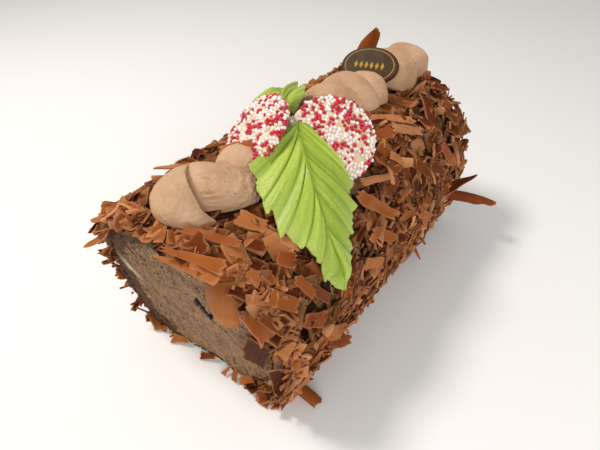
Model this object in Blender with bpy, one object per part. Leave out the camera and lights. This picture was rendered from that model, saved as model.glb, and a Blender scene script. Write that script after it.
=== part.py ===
"""Yule log cake: a mousse centre in a sponge jacket, a buttercream coat, a crust of chocolate
flakes, a piped line of cream, two moulded leaves, two sprinkle discs and an oval plaque.

Millimetres in the sizes below, metres in the meshes.  X runs along the log from the near cut
face (-X) to the far end, +Y is the log's left, Z is up, z = 0 is the underside.
"""
import math
import bpy
import bmesh
import numpy as np

# ---------------------------------------------------------------- driving sizes (mm)
LENGTH = 162.7          # along the underside
WIDTH = 92.6            # over the coat
HEIGHT = 85.9           # over the coat
WAIST = 0.382           # height of the widest line / HEIGHT
FOOT = 0.528            # flat underside / WIDTH
ROUND_TOP = 2.67        # roundness of the upper part
ROUND_LOW = 2.11        # roundness of the lower corners
LEAN_Z = 0.055          # the near cut leans out with height
LEAN_Y = 0.093          # and is longer on the left
GAP = 0.3               # between touching pieces
CRUST_GAP = 0.45        # crust above the coat, between its flat facets
COAT = 3.0              # buttercream
JACKET = 4.2            # sponge
BED = 2.0               # pressed flat crust under the cream
PRESSED = 1.0           # and under the discs
CRUST_LOW = 2.4         # flakes, lowest and highest
CRUST_HIGH = 6.3
OVERHANG = 6.0          # flakes standing out past the near cut on the right
LOBE_GAP = 0.45         # cream above the bed
LEAF_THICK = 2.2
DISC_DOME = 2.8         # disc: rim plane to the top of the dome
DISC_BACK = 2.6         # rim plane to the flat back
PLAQUE_THICK = 2.6

RNG = np.random.default_rng(24)

for old in list(bpy.data.objects):
    bpy.data.objects.remove(old)


# ---------------------------------------------------------------- helpers
def material(name, rgb, rough):
    mat = bpy.data.materials.new(name)
    mat.use_nodes = True
    node = mat.node_tree.nodes["Principled BSDF"]
    node.inputs["Base Color"].default_value = (*rgb, 1.0)
    node.inputs["Roughness"].default_value = rough
    return mat


def solid(name, verts, faces, mat, smooth=False, cuts=()):
    """Closed mesh in millimetres -> object; cuts are planes (point, direction cut away)."""
    mesh = bpy.data.meshes.new(name)
    mesh.from_pydata([tuple(v) for v in np.asarray(verts) * 0.001], [], [list(f) for f in faces])
    bm = bmesh.new()
    bm.from_mesh(mesh)
    for point, away in cuts:
        geom = bm.verts[:] + bm.edges[:] + bm.faces[:]
        bmesh.ops.bisect_plane(bm, geom=geom, dist=1e-5, clear_outer=True,
                               plane_co=[c * 0.001 for c in point], plane_no=away)
        rim = [e for e in bm.edges if e.is_boundary]
        if rim:
            bmesh.ops.holes_fill(bm, edges=rim, sides=0)
    loose = [v for v in bm.verts if not v.link_faces]
    if loose:
        bmesh.ops.delete(bm, geom=loose, context="VERTS")
    bmesh.ops.recalc_face_normals(bm, faces=bm.faces[:])
    bm.to_mesh(mesh)
    bm.free()
    obj = bpy.data.objects.new(name, mesh)
    bpy.context.scene.collection.objects.link(obj)
    mesh.materials.append(mat)
    mesh.polygons.foreach_set("use_smooth", [smooth] * len(mesh.polygons))
    mesh.update()
    return obj


def resample(poly, count):
    step = np.hypot(*np.diff(poly, axis=0).T)
    run = np.r_[0.0, np.cumsum(step)]
    want = np.linspace(0.0, run[-1], count)
    return np.c_[np.interp(want, run, poly[:, 0]), np.interp(want, run, poly[:, 1])]


def section_curve(count):
    """Coat outline (y, z) from the left foot over the top to the right foot, with normals."""
    half, waist = WIDTH / 2, WAIST * HEIGHT
    low = np.linspace(math.pi / 2, 0.0, 3000)
    up = np.linspace(0.0, math.pi / 2, 3000)[1:]
    y = np.r_[half * (FOOT + (1 - FOOT) * np.cos(low) ** (2 / ROUND_LOW)),
              half * np.cos(up) ** (2 / ROUND_TOP)]
    z = np.r_[waist * (1 - np.sin(low) ** (2 / ROUND_LOW)),
              waist + (HEIGHT - waist) * np.sin(up) ** (2 / ROUND_TOP)]
    y[-1], z[0] = 0.0, 0.0
    poly = np.c_[np.r_[y, -y[-2::-1]], np.r_[z, z[-2::-1]]]
    pts = resample(poly, count)
    tan = np.gradient(pts, axis=0)
    tan /= np.hypot(tan[:, 0], tan[:, 1])[:, None]
    nrm = np.c_[tan[:, 1], -tan[:, 0]]
    nrm[0], nrm[-1] = (0.0, -1.0), (0.0, -1.0)
    return pts, nrm


DENSE, DENSE_N = section_curve(1201)
ARC = np.r_[0.0, np.cumsum(np.hypot(*np.diff(DENSE, axis=0).T))]
ARC -= ARC[600]                                     # 0 on the ridge, + towards -Y


def body_point(s):
    """Point and normal (y, z) of the coat at arc position s from the ridge."""
    y, z = np.interp(s, ARC, DENSE[:, 0]), np.interp(s, ARC, DENSE[:, 1])
    ny, nz = np.interp(s, ARC, DENSE_N[:, 0]), np.interp(s, ARC, DENSE_N[:, 1])
    size = np.hypot(ny, nz)
    return y, z, ny / size, nz / size


def near_x(y, z):
    return -LENGTH / 2 - LEAN_Z * z - LEAN_Y * y


def bed_z(y, lift):
    """Height of the crust's bed, lifted, at y (upper part of the log only)."""
    high = DENSE[:, 1] > 50
    edge = DENSE[high] + (GAP + BED + lift) * DENSE_N[high]
    order = np.argsort(edge[:, 0])
    return np.interp(y, edge[order, 0], edge[order, 1])


def strip_prism(name, outer, inner, closed, mat):
    """Extrude the band between two matched (y, z) lines from the near cut to the far end."""
    outer, inner = np.asarray(outer), np.asarray(inner)
    n = len(outer)
    ring = np.r_[outer, inner]
    near = np.c_[near_x(ring[:, 0], ring[:, 1]), ring]
    far = np.c_[np.full(len(ring), LENGTH / 2), ring]
    verts = np.r_[near, far]
    faces, m = [], 2 * n
    for i in range(n if closed else n - 1):
        j = (i + 1) % n
        faces += [(i, j, n + j, n + i), (m + i, m + n + i, m + n + j, m + j)]
        faces += [(i, m + i, m + j, j), (n + i, n + j, m + n + j, m + n + i)]
    if not closed:
        for k in (0, n - 1):
            faces.append((k, n + k, m + n + k, m + k))
    return solid(name, verts, faces, mat)


# ---------------------------------------------------------------- cream, discs, plaque layout
# name: centre x, y; half length, half width; turn (deg) of the length from X; height
LOBES = {
    "cream_front":    (-75.5, 4.5, 18.5, 11.5, 70.0, 12.0),
    "cream_scoop":    (-57.5, -6.5, 15.5, 13.5, 35.0, 11.0),
    "cream_left":     (-48.0, 2.0, 12.5, 11.0, -45.0, 13.0),
    "cream_middle":   (-15.5, 1.5, 15.0, 12.5, 30.0, 15.5),
    "cream_back":     (13.0, 2.5, 14.5, 13.5, 20.0, 15.0),
    "cream_fold":     (30.0, 3.5, 13.5, 14.5, 0.0, 14.0),
    "cream_right":    (41.0, -9.0, 11.5, 11.5, 0.0, 12.5),
    "cream_far":      (68.0, -6.0, 17.5, 14.5, 0.0, 14.5),
}
DISCS = {
    "sprinkle_disc_left": ((-33.6, 3.6, 100.4), (-0.552, 0.386, 0.739), 17.4),
    "sprinkle_disc_right": ((-15.3, -22.9, 96.5), (-0.405, -0.587, 0.701), 18.0),
}
PLAQUE_AT, PLAQUE_FACE = (49.7, -0.6, 99.0), (-0.72, -0.07, 0.69)
PLAQUE_HALF, PLAQUE_TURN = (15.0, 9.6), 4.5


def unit(v):
    v = np.asarray(v, float)
    return v / np.linalg.norm(v)


def lobe_rho(spec, x, y):
    cx, cy, a, b, turn, _ = spec
    c, s = math.cos(math.radians(turn)), math.sin(math.radians(turn))
    u, v = (x - cx) * c + (y - cy) * s, -(x - cx) * s + (y - cy) * c
    return (np.abs(u / a) ** 2.2 + np.abs(v / b) ** 2.2) ** (1 / 2.2)


# ---------------------------------------------------------------- layers seen at the cut
choc_crumb = material("mousse", (0.27, 0.17, 0.11), 0.85)
sponge = material("sponge", (0.09, 0.045, 0.025), 0.95)
butter = material("buttercream", (0.42, 0.25, 0.15), 0.6)
flake = material("milk_chocolate_flakes", (0.22, 0.085, 0.04), 0.45)
cream = material("piped_cream", (0.58, 0.39, 0.25), 0.6)
marzipan = material("green_marzipan", (0.36, 0.48, 0.07), 0.5)
beads = material("sugar_beads", (0.75, 0.35, 0.33), 0.4)
dark = material("dark_chocolate", (0.05, 0.028, 0.02), 0.35)

pts, nrm = section_curve(41)
strip_prism("buttercream_coat", pts, pts - COAT * nrm, False, butter)

jacket_out, jacket_in = COAT + GAP, COAT + GAP + JACKET
wall = FOOT * WIDTH / 2 - GAP
outer = np.r_[pts - jacket_out * nrm,
              [(-wall, jacket_out), (-wall, 0.0), (wall, 0.0), (wall, jacket_out)]]
inner = np.r_[pts - jacket_in * nrm,
              [(-0.75 * wall, jacket_in), (-0.25 * wall, jacket_in),
               (0.25 * wall, jacket_in), (0.75 * wall, jacket_in)]]
strip_prism("sponge_jacket", outer, inner, True, sponge)

core = pts - (jacket_in + GAP) * nrm
n = len(core)
ends = np.r_[np.c_[near_x(core[:, 0], core[:, 1]), core], np.c_[np.full(n, LENGTH / 2), core]]
faces = [tuple(range(n)), tuple(range(2 * n - 1, n - 1, -1))]
faces += [(i, n + i, n + (i + 1) % n, (i + 1) % n) for i in range(n)]
solid("mousse_core", ends, faces, choc_crumb)

# ---------------------------------------------------------------- flake crust
# Inside: the coat line pushed out by the gap.  Outside: the same line pushed out by an uneven
# height, kept low and flat (the bed) under everything that stands on it.
ALONG, AROUND = 42, 38


def crust_limit(x, y, z, s):
    """Highest crust allowed at a place: the bed under cream and discs, low under leaves."""
    top = np.full(x.shape, 99.0)
    for spec in LOBES.values():
        wide = (spec[0], spec[1], spec[2] + 5.0, spec[3] + 5.0, spec[4], 0)
        away = np.maximum(lobe_rho(wide, x, y) - 1.0, 0.0) * spec[3]
        top = np.minimum(top, BED + 0.9 * away)
    for (centre, face, radius) in DISCS.values():
        away = np.maximum(np.hypot(x - centre[0], y - centre[1]) - radius - 1.0, 0.0)
        top = np.minimum(top, PRESSED + 0.9 * away)
    for cx, cs in ((-42.0, 34.0), (11.0, -35.0)):
        u = (x - cx) * 0.45 - (s - cs) * 0.89
        v = (x - cx) * 0.89 + (s - cs) * 0.45
        away = np.maximum(np.hypot(u / 34.0, v / 26.0) - 1.0, 0.0) * 30
        top = np.minimum(top, 3.3 + 0.9 * away)
    top = np.where(z < 20, top, np.where(z > 55, top, np.maximum(top, 4.2)))
    for px, py, pz in ((-70.0, -42.0, 4.0), (68.0, -49.0, 29.0), (75.6, 18.2, 86.0)):
        away = np.maximum(np.sqrt((x - px) ** 2 + (y - py) ** 2 + (z - pz) ** 2) - 9.0, 0.0)
        top = np.minimum(top, BED + 0.9 * away)
    return top


rows = []
heights = RNG.uniform(CRUST_LOW, CRUST_HIGH, (ALONG + 1, AROUND + 1))
edge_jitter = RNG.uniform(-1.6, 0.4, AROUND + 1)
inner_pts = DENSE + CRUST_GAP * DENSE_N
ok = inner_pts[:, 1] > 0.0
first, last = np.argmax(ok), len(ok) - np.argmax(ok[::-1]) - 1
for i in range(ALONG + 1):
    f = i / ALONG
    x = near_x(DENSE[:, 0], DENSE[:, 1]) * (1 - f) + LENGTH / 2 * f
    lane = np.linspace(ARC[first], ARC[last], AROUND + 1)
    h = np.interp(ARC, lane, heights[i])
    lim = crust_limit(x, DENSE[:, 0], DENSE[:, 1], ARC)
    out = DENSE + (GAP + np.minimum(h, lim))[:, None] * DENSE_N
    up = np.flatnonzero(out[:, 1] > 0.0)
    a, b = up[0], up[-1]
    ta = out[a, 1] / (out[a, 1] - out[a - 1, 1])
    tb = out[b, 1] / (out[b, 1] - out[b + 1, 1])
    line = np.r_[[out[a] + ta * (out[a - 1] - out[a])], out[a:b + 1],
                 [out[b] + tb * (out[b + 1] - out[b])]]
    arc = np.r_[ARC[a] - 0.01, ARC[a:b + 1], ARC[b] + 0.01]
    pick = np.linspace(arc[0], arc[-1], AROUND + 1)
    yz = np.c_[np.interp(pick, arc, line[:, 0]), np.interp(pick, arc, line[:, 1])]
    yz[[0, -1], 1] = 0.0
    fx = near_x(yz[:, 0], yz[:, 1]) * (1 - f) + LENGTH / 2 * f
    over = OVERHANG * np.exp(-((pick - 42.0) / 26.0) ** 4)
    fx = fx - over * max(0.0, 1 - i / 3)
    if i == 0:
        fx = fx + edge_jitter
    rows.append(np.c_[fx, yz])
grid = np.array(rows)
na = AROUND + 1
inside = resample(inner_pts[first:last + 1], na)
inside[[0, -1], 1] = 0.0
near_in = np.c_[near_x(inside[:, 0], inside[:, 1]), inside]
far_in = np.c_[np.full(na, LENGTH / 2), inside]
verts = np.r_[grid.reshape(-1, 3), near_in, far_in]
k0 = (ALONG + 1) * na
faces = []
for i in range(ALONG):
    for j in range(AROUND):
        q = (i * na + j, (i + 1) * na + j, (i + 1) * na + j + 1, i * na + j + 1)
        faces += [(q[0], q[1], q[2]), (q[0], q[2], q[3])] if (i + j) % 2 else \
                 [(q[0], q[1], q[3]), (q[1], q[2], q[3])]
for j in range(AROUND):
    faces.append((j, j + 1, k0 + j + 1, k0 + j))
    e = ALONG * na
    faces.append((e + j, k0 + na + j, k0 + na + j + 1, e + j + 1))
    faces.append((k0 + j, k0 + j + 1, k0 + na + j + 1, k0 + na + j))
for j in (0, AROUND):
    faces.append([k0 + j, k0 + na + j] + [i * na + j for i in range(ALONG, -1, -1)])
solid("flake_crust", verts, faces, flake)

# ---------------------------------------------------------------- piped cream
disc_left, disc_right = DISCS["sprinkle_disc_left"], DISCS["sprinkle_disc_right"]
n1, n2, n3 = unit(disc_left[1]), unit(disc_right[1]), unit(PLAQUE_FACE)


def behind(centre, normal, depth):
    """Plane that keeps only what lies behind a tilted plate."""
    return tuple(np.asarray(centre) - normal * depth), tuple(normal)


def in_front(centre, normal, depth):
    return tuple(np.asarray(centre) + normal * depth), tuple(-normal)


def seam(point, away, side):
    """One side of the seam between two lobes; side is -1 or +1."""
    away = unit((*away, 0.0))
    return tuple(np.array((*point, 90.0)) + away * side * GAP * 0.55), tuple(away * -side)


S1 = ((-68.0, 1.0), (0.90, -0.43))
S2 = ((-54.0, -3.0), (0.62, 0.78))
S5 = ((-1.0, 1.0), (1.0, 0.15))
S3 = ((22.5, 0.0), (1.0, 0.1))
S4 = ((35.0, -4.5), (0.70, -0.71))
CUTS = {
    "cream_front": [seam(*S1, -1), ((near_x(0, 90.0), 0, 90.0), (-1.0, -LEAN_Y, -LEAN_Z))],
    "cream_scoop": [seam(*S1, 1), seam(*S2, -1), in_front(disc_left[0], n1, DISC_DOME + GAP)],
    "cream_left": [seam(*S2, 1), seam(*S1, 1), in_front(disc_left[0], n1, DISC_DOME + GAP)],
    "cream_middle": [seam(*S5, -1), behind(disc_left[0], n1, DISC_BACK + GAP),
                     behind(disc_right[0], n2, DISC_BACK + GAP)],
    "cream_back": [seam(*S5, 1), seam(*S3, -1), behind(disc_right[0], n2, DISC_BACK + GAP)],
    "cream_fold": [seam(*S3, 1), seam(*S4, -1), in_front(PLAQUE_AT, n3, PLAQUE_THICK / 2 + GAP)],
    "cream_right": [seam(*S4, 1), seam(*S3, 1), in_front(PLAQUE_AT, n3, PLAQUE_THICK / 2 + GAP)],
    "cream_far": [behind(PLAQUE_AT, n3, PLAQUE_THICK / 2 + GAP),
                  ((LENGTH / 2, 0, 90.0), (1.0, 0.0, 0.0))],
}
ANGLES = 20
# rings from the apex to the foot: share of the outline, share of the height
RINGS = ((0.30, 0.96), (0.56, 0.86), (0.78, 0.68), (0.93, 0.44), (1.0, 0.22), (0.95, 0.0),
         (0.5, 0.0))


def lobe_top(spec, x, y):
    """Height of a lobe's top over the bed at (x, y), 0 outside it."""
    rho = lobe_rho(spec, x, y)
    share = np.interp(rho, [0, 0.30, 0.56, 0.78, 0.93, 1.0, 1.08], [1, 0.96, 0.86, 0.68, 0.44, 0.3, 0])
    return share * spec[5]


for name, spec in LOBES.items():
    cx, cy, a, b, turn, height = spec
    c, s = math.cos(math.radians(turn)), math.sin(math.radians(turn))
    th = np.linspace(0, 2 * math.pi, ANGLES, endpoint=False)
    r = (np.abs(np.cos(th) / a) ** 2.2 + np.abs(np.sin(th) / b) ** 2.2) ** (-1 / 2.2)
    verts = [(cx, cy, bed_z(cy, LOBE_GAP) + height)]
    for share, up in RINGS:
        u, v = r * share * np.cos(th), r * share * np.sin(th)
        x, y = cx + u * c - v * s, cy + u * s + v * c
        verts += list(np.c_[x, y, bed_z(y, LOBE_GAP) + up * height])
    verts.append((cx, cy, bed_z(cy, LOBE_GAP)))
    faces, last = [], len(verts) - 1
    for j in range(ANGLES):
        k = (j + 1) % ANGLES
        faces.append((0, 1 + j, 1 + k))
        for ring in range(len(RINGS) - 1):
            p, q = 1 + ring * ANGLES, 1 + (ring + 1) * ANGLES
            faces.append((p + j, q + j, q + k, p + k))
        p = 1 + (len(RINGS) - 1) * ANGLES
        faces.append((last, p + k, p + j))
    cuts = CUTS[name]
    solid(name, verts, faces, cream, smooth=True, cuts=cuts)


# ---------------------------------------------------------------- discs and plaque
def turned(name, centre, normal, profile, mat, half=(1.0, 1.0), turn=0.0, count=32):
    """Solid of rings (radius share, height) about a tilted axis; half = oval half sizes."""
    normal = unit(normal)
    a = unit(np.cross((0, 0, 1.0), normal))
    b = np.cross(normal, a)
    c, s = math.cos(math.radians(turn)), math.sin(math.radians(turn))
    a, b = a * c + b * s, b * c - a * s
    th = np.linspace(0, 2 * math.pi, count, endpoint=False)
    verts = [np.asarray(centre) + normal * profile[0][1]]
    for share, up in profile[1:-1]:
        ring = (np.cos(th)[:, None] * a * half[0] + np.sin(th)[:, None] * b * half[1]) * share
        verts += list(np.asarray(centre) + ring + normal * up)
    verts.append(np.asarray(centre) + normal * profile[-1][1])
    rings, last, faces = len(profile) - 2, len(verts) - 1, []
    for j in range(count):
        k = (j + 1) % count
        faces.append((0, 1 + j, 1 + k))
        for g in range(rings - 1):
            p, q = 1 + g * count, 1 + (g + 1) * count
            faces.append((p + j, q + j, q + k, p + k))
        p = 1 + (rings - 1) * count
        faces.append((last, p + k, p + j))
    return solid(name, verts, faces, mat, smooth=True)


DOME = ((0, DISC_DOME), (0.35, 2.62), (0.62, 2.15), (0.84, 1.35), (0.96, 0.55), (1.0, -0.5),
        (0.99, -1.6), (0.94, -DISC_BACK), (0, -DISC_BACK))
for name, (centre, face, radius) in DISCS.items():
    turned(name, centre, face, DOME, beads, (radius, radius))

t = PLAQUE_THICK / 2
turned("plaque", PLAQUE_AT, PLAQUE_FACE,
       ((0, t), (0.955, t), (0.99, t - 0.35), (1.0, 0.0), (0.99, -t + 0.35), (0.955, -t), (0, -t)),
       dark, PLAQUE_HALF, PLAQUE_TURN, 36)


# ---------------------------------------------------------------- leaves
def sheet(name, top, bottom, mat, smooth=True):
    """Closed sheet between two matched grids of points."""
    nu, nv = top.shape[:2]
    size = nu * nv
    verts = np.r_[top.reshape(-1, 3), bottom.reshape(-1, 3)]
    faces = []
    for i in range(nu - 1):
        for j in range(nv - 1):
            p = i * nv + j
            q = (p, p + nv, p + nv + 1, p + 1)
            faces += [q, tuple(size + v for v in reversed(q))]
    rim = [j for j in range(nv)] + [i * nv + nv - 1 for i in range(1, nu)]
    rim += [(nu - 1) * nv + j for j in range(nv - 2, -1, -1)] + [i * nv for i in range(nu - 2, 0, -1)]
    for a, b in zip(rim, rim[1:] + rim[:1]):
        faces.append((a, b, size + b, size + a))
    return solid(name, verts, faces, mat, smooth=smooth)


# Leaf pattern laid out on the log: x along it, s round it from the ridge.  The midrib and both
# edges are parabolas, each through its start, its middle and its end.  Each rib runs from the
# midrib to the edge; the ribs are spread evenly from the stem (0) to the tip (1).
RIBS = 8
MIDRIB = ((-22.0, 12.0), (-41.0, 29.0), (-49.0, 61.0))
LEFT_EDGE = ((-54.0, 14.0), (-61.0, 34.0), (-51.0, 60.0))
RIGHT_EDGE = ((-20.0, 27.0), (-29.0, 42.0), (-47.0, 60.0))


def parabola(points, w):
    """x and s at w of the parabola through three points, met at w = 0, 1/2 and 1."""
    share = np.stack([(1 - w) * (1 - 2 * w), 4 * w * (1 - w), w * (2 * w - 1)], -1)
    return (share @ np.array(points)).T[:, :, None]


def leaf(name, mirror):
    nw, nt = 2 * RIBS, 5
    w = np.linspace(0, 1, nw + 1)
    ridge = 0.5 + 0.5 * np.cos(2 * math.pi * RIBS * w)
    t = np.r_[np.linspace(1, 0, nt + 1), np.linspace(0, 1, nt + 1)[1:]]
    side = np.r_[-np.ones(nt), np.zeros(1), np.ones(nt)]
    pull = (0.90 + 0.10 * ridge)[:, None] * t
    edge = np.where(side < 0, parabola(LEFT_EDGE, w), parabola(RIGHT_EDGE, w))
    x, s = parabola(MIDRIB, w) * (1 - pull) + edge * pull
    base = 5.1 + 11.0 * np.exp(-((x + 22) ** 2 + (s - 12) ** 2) / 15.0 ** 2)
    if mirror:
        x, s = -31.0 - x, -1.0 - s
        base = 5.1 + 11.5 * np.exp(-((x - 2) ** 2 + (s + 17) ** 2) / 13.0 ** 2)
    y, z, ny, nz = body_point(s)
    foot = np.stack([x, y, z], -1)
    nrm = np.stack([np.zeros_like(ny), ny, nz], -1)
    low = base
    for centre, face, radius in () if mirror else (disc_right,):
        face = unit(face)
        for _ in range(3):
            p = foot + low[..., None] * nrm - np.asarray(centre)
            up = p @ face
            rad = np.linalg.norm(p - up[..., None] * face, axis=-1)
            need = DISC_DOME * np.clip(1.0 - (rad / radius) ** 3, 0.25, 1.0) + 1.0
            lift = np.where((rad < radius + 3.5) & (up > -6), (need - up) / (nrm @ face), 0.0)
            low = low + np.clip(lift, 0.0, 12.0)
    under = ("cream_middle", "cream_back", "cream_fold") if mirror else ("cream_scoop", "cream_middle")
    for spec in (LOBES[key] for key in under):
        tall = lobe_top((*spec[:2], spec[2] + 1.5, spec[3] + 1.5, *spec[4:]), x, y)
        need = (bed_z(y, LOBE_GAP) + tall - z) / nz + 0.9
        low = np.where((tall > 0) & (z > 60), np.maximum(low, need), low)
    low = low + (1.4 * ridge[:, None] * (1 - (2 * t - 1) ** 2)) + 1.0 * (t < 0.05)
    bottom = foot + low[..., None] * nrm
    top = foot + (low + LEAF_THICK)[..., None] * nrm
    return sheet(name, top, bottom, marzipan)


leaf("leaf_front", False)
leaf("leaf_back", True)


# ---------------------------------------------------------------- large chocolate curls
def curl(name, start, end, width, thick, bow, up, taper=1.0, mat=flake):
    """Curled shaving: a strip from start to end, bent across its width round 'up'."""
    start, end, up = np.array(start, float), np.array(end, float), unit(up)
    run = unit(end - start)
    across = unit(np.cross(up, run))
    up = np.cross(run, across)
    u = np.linspace(0, 1, 6)[:, None]
    ang = np.linspace(-1, 1, 7)[None, :] * math.radians(bow)
    rad = width / (2 * math.sin(math.radians(min(bow, 90)))) if bow > 5 else 1e3
    grow = 1 + (taper - 1) * u
    mid = start + u[..., None] * (end - start) + 0.6 * np.sin(math.pi * u)[..., None] * up
    out = []
    for r in (rad, rad - thick):
        side = np.sin(ang) * r * grow
        lift = (np.cos(ang) * r - rad) * grow
        out.append(mid + side[..., None] * across + lift[..., None] * up)
    return sheet(name, out[0], out[1], mat)


curl("curl_foot", (-69.4, -40.4, 5.3), (-70.4, -54.0, 5.7), 5.0, 1.3, 150, (0.1, 0, 1))
curl("curl_side", (67.6, -50.6, 31.2), (74.0, -73.0, 30.4), 4.4, 1.2, 150, (0.2, 0, 1), 0.8)
curl("shard_far", (75.6, 18.2, 88.6), (78.6, 12.6, 107.5), 8.5, 1.0, 40, (-0.8, -0.6, 0), 0.25)
curl("shard_front", (-93.2, -27.0, 83.5), (-92.6, -37.2, 69.8), 8.0, 1.1, 35,
     (-0.9, -0.3, 0.3), 0.85)
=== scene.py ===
# %% [markdown]
# # A yule log cake, finished by hand
# The solids of the cake (its mousse, sponge, buttercream, crust, cream, leaves, discs and
# plaque) arrive as a fixed frame, in metres.  This lesson puts the real surfaces round them:
# thousands of chocolate shavings, piped cream with knife-thin crests, moulded marzipan, sugar
# beads.  Everything is worked out with numpy as whole arrays and handed to Blender as meshes.

# %% Load the frame
import math
import bpy
import numpy as np
from mathutils import Matrix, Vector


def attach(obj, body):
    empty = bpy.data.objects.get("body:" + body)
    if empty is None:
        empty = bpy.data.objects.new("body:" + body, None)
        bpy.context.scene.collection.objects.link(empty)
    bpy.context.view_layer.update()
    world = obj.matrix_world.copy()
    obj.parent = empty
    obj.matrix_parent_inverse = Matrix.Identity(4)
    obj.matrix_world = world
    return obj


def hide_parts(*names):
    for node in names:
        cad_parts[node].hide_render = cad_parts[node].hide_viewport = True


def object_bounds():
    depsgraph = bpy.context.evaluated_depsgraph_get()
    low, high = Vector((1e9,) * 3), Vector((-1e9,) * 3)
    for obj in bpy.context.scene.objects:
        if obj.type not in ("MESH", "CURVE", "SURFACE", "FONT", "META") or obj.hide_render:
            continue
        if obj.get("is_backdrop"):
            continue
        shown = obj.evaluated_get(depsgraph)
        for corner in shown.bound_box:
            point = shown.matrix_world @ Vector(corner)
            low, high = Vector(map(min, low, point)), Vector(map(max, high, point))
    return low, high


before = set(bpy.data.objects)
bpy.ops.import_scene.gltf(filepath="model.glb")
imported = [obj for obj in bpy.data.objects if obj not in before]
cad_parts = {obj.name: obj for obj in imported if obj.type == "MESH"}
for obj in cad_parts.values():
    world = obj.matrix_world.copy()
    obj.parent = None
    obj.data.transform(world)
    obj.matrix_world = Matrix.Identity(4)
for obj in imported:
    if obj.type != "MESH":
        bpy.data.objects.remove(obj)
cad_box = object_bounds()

print("frame:", len(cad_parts), "solids")

# %% [markdown]
# The cake's outline is a rounded arch: a superellipse above the widest line and a rounder one
# below it, standing on a flat foot.  Everything on the crust is placed by two numbers, x along
# the log and s, the distance round the arch from the ridge (+ towards the right-hand side).
# The same sizes are used as in the solids, so a flake lands on the buttercream, not in it.

# %% The arch and the way round it
LENGTH, WIDTH, HEIGHT = 162.7, 92.6, 85.9          # mm, over the buttercream
WAIST, FOOT, ROUND_TOP, ROUND_LOW = 0.382, 0.528, 2.67, 2.11
LEAN_Z, LEAN_Y = 0.055, 0.093                      # the near cut is not square
FAR_X = LENGTH / 2                                 # x of the far cut, which is square


def arch_line(count):
    """Points (y, z) evenly spaced along the arch, left foot to right foot, and outward normals.

    Superellipse: y = half * cos(a)^(2/n), z = waist + rise * sin(a)^(2/n), mirrored in y."""
    half, waist = WIDTH / 2, WAIST * HEIGHT
    low, up = np.linspace(np.pi / 2, 0, 3000), np.linspace(0, np.pi / 2, 3000)[1:]
    y = np.r_[half * (FOOT + (1 - FOOT) * np.cos(low) ** (2 / ROUND_LOW)),
              half * np.cos(up) ** (2 / ROUND_TOP)]
    z = np.r_[waist * (1 - np.sin(low) ** (2 / ROUND_LOW)),
              waist + (HEIGHT - waist) * np.sin(up) ** (2 / ROUND_TOP)]
    y[-1] = z[0] = 0.0
    line = np.c_[np.r_[y, -y[-2::-1]], np.r_[z, z[-2::-1]]]
    run = np.r_[0, np.cumsum(np.hypot(*np.diff(line, axis=0).T))]
    want = np.linspace(0, run[-1], count)
    pts = np.c_[np.interp(want, run, line[:, 0]), np.interp(want, run, line[:, 1])]
    tan = np.gradient(pts, axis=0)
    nrm = np.c_[tan[:, 1], -tan[:, 0]] / np.hypot(*tan.T)[:, None]
    nrm[0] = nrm[-1] = (0, -1)
    return pts, nrm


ARCH, ARCH_N = arch_line(1201)
ARC = np.r_[0, np.cumsum(np.hypot(*np.diff(ARCH, axis=0).T))]
ARC -= ARC[600]
FOOT_S = ARC[-1]


def on_arch(s):
    """(y, z, normal y, normal z) of the buttercream at distance s round the arch."""
    y, z, ny, nz = (np.interp(s, ARC, c) for c in (*ARCH.T, *ARCH_N.T))
    size = np.hypot(ny, nz)
    return y, z, ny / size, nz / size


def near_x(y, z):
    """x of the near cut at a place of the section."""
    return -FAR_X - LEAN_Z * z - LEAN_Y * y


def bed_z(y, lift=2.3):
    """Height of the top of the log, lifted, at y."""
    edge = ARCH[ARCH[:, 1] > 50] + lift * ARCH_N[ARCH[:, 1] > 50]
    order = np.argsort(edge[:, 0])
    return np.interp(y, edge[order, 0], edge[order, 1])


print("arch: %.1f mm round" % (2 * FOOT_S))

# %% [markdown]
# Food is uneven at every size.  Blender's noise textures only change the shading unless they
# are baked into the mesh, and an exported mesh keeps no shader displacement, so the unevenness
# is put into the points themselves.  `noise` is value noise: random numbers on a cubic lattice,
# blended smoothly between the corners of each cell.  The lattice size is the size of a lump.

# %% Lumps, ripples and dice
def noise(p, size, seed):
    """Value noise of points p (..., 3): one lump about every `size` mm, from -1 to 1."""
    q = np.asarray(p, float) / size + 1000.0
    cell = np.floor(q).astype(np.int64)
    f = q - cell
    f = f * f * (3 - 2 * f)

    def corner(dx, dy, dz):
        h = ((cell[..., 0] + dx) * 374761393 + (cell[..., 1] + dy) * 668265263
             + (cell[..., 2] + dz) * 974634777 + seed * 144665) & 0xFFFFFFFF
        h = ((h ^ (h >> 13)) * 1274126177) & 0xFFFFFFFF
        return ((h ^ (h >> 16)) & 0xFFFF) / 32767.5 - 1

    def mix(a, b, w):
        return a + (b - a) * w

    x0 = mix(mix(corner(0, 0, 0), corner(1, 0, 0), f[..., 0]),
             mix(corner(0, 1, 0), corner(1, 1, 0), f[..., 0]), f[..., 1])
    x1 = mix(mix(corner(0, 0, 1), corner(1, 0, 1), f[..., 0]),
             mix(corner(0, 1, 1), corner(1, 1, 1), f[..., 0]), f[..., 1])
    return mix(x0, x1, f[..., 2])


def smooth_step(v, low, high):
    """0 below low, 1 above high, an S-curve between."""
    t = np.clip((v - low) / (high - low), 0, 1)
    return t * t * (3 - 2 * t)


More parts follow.
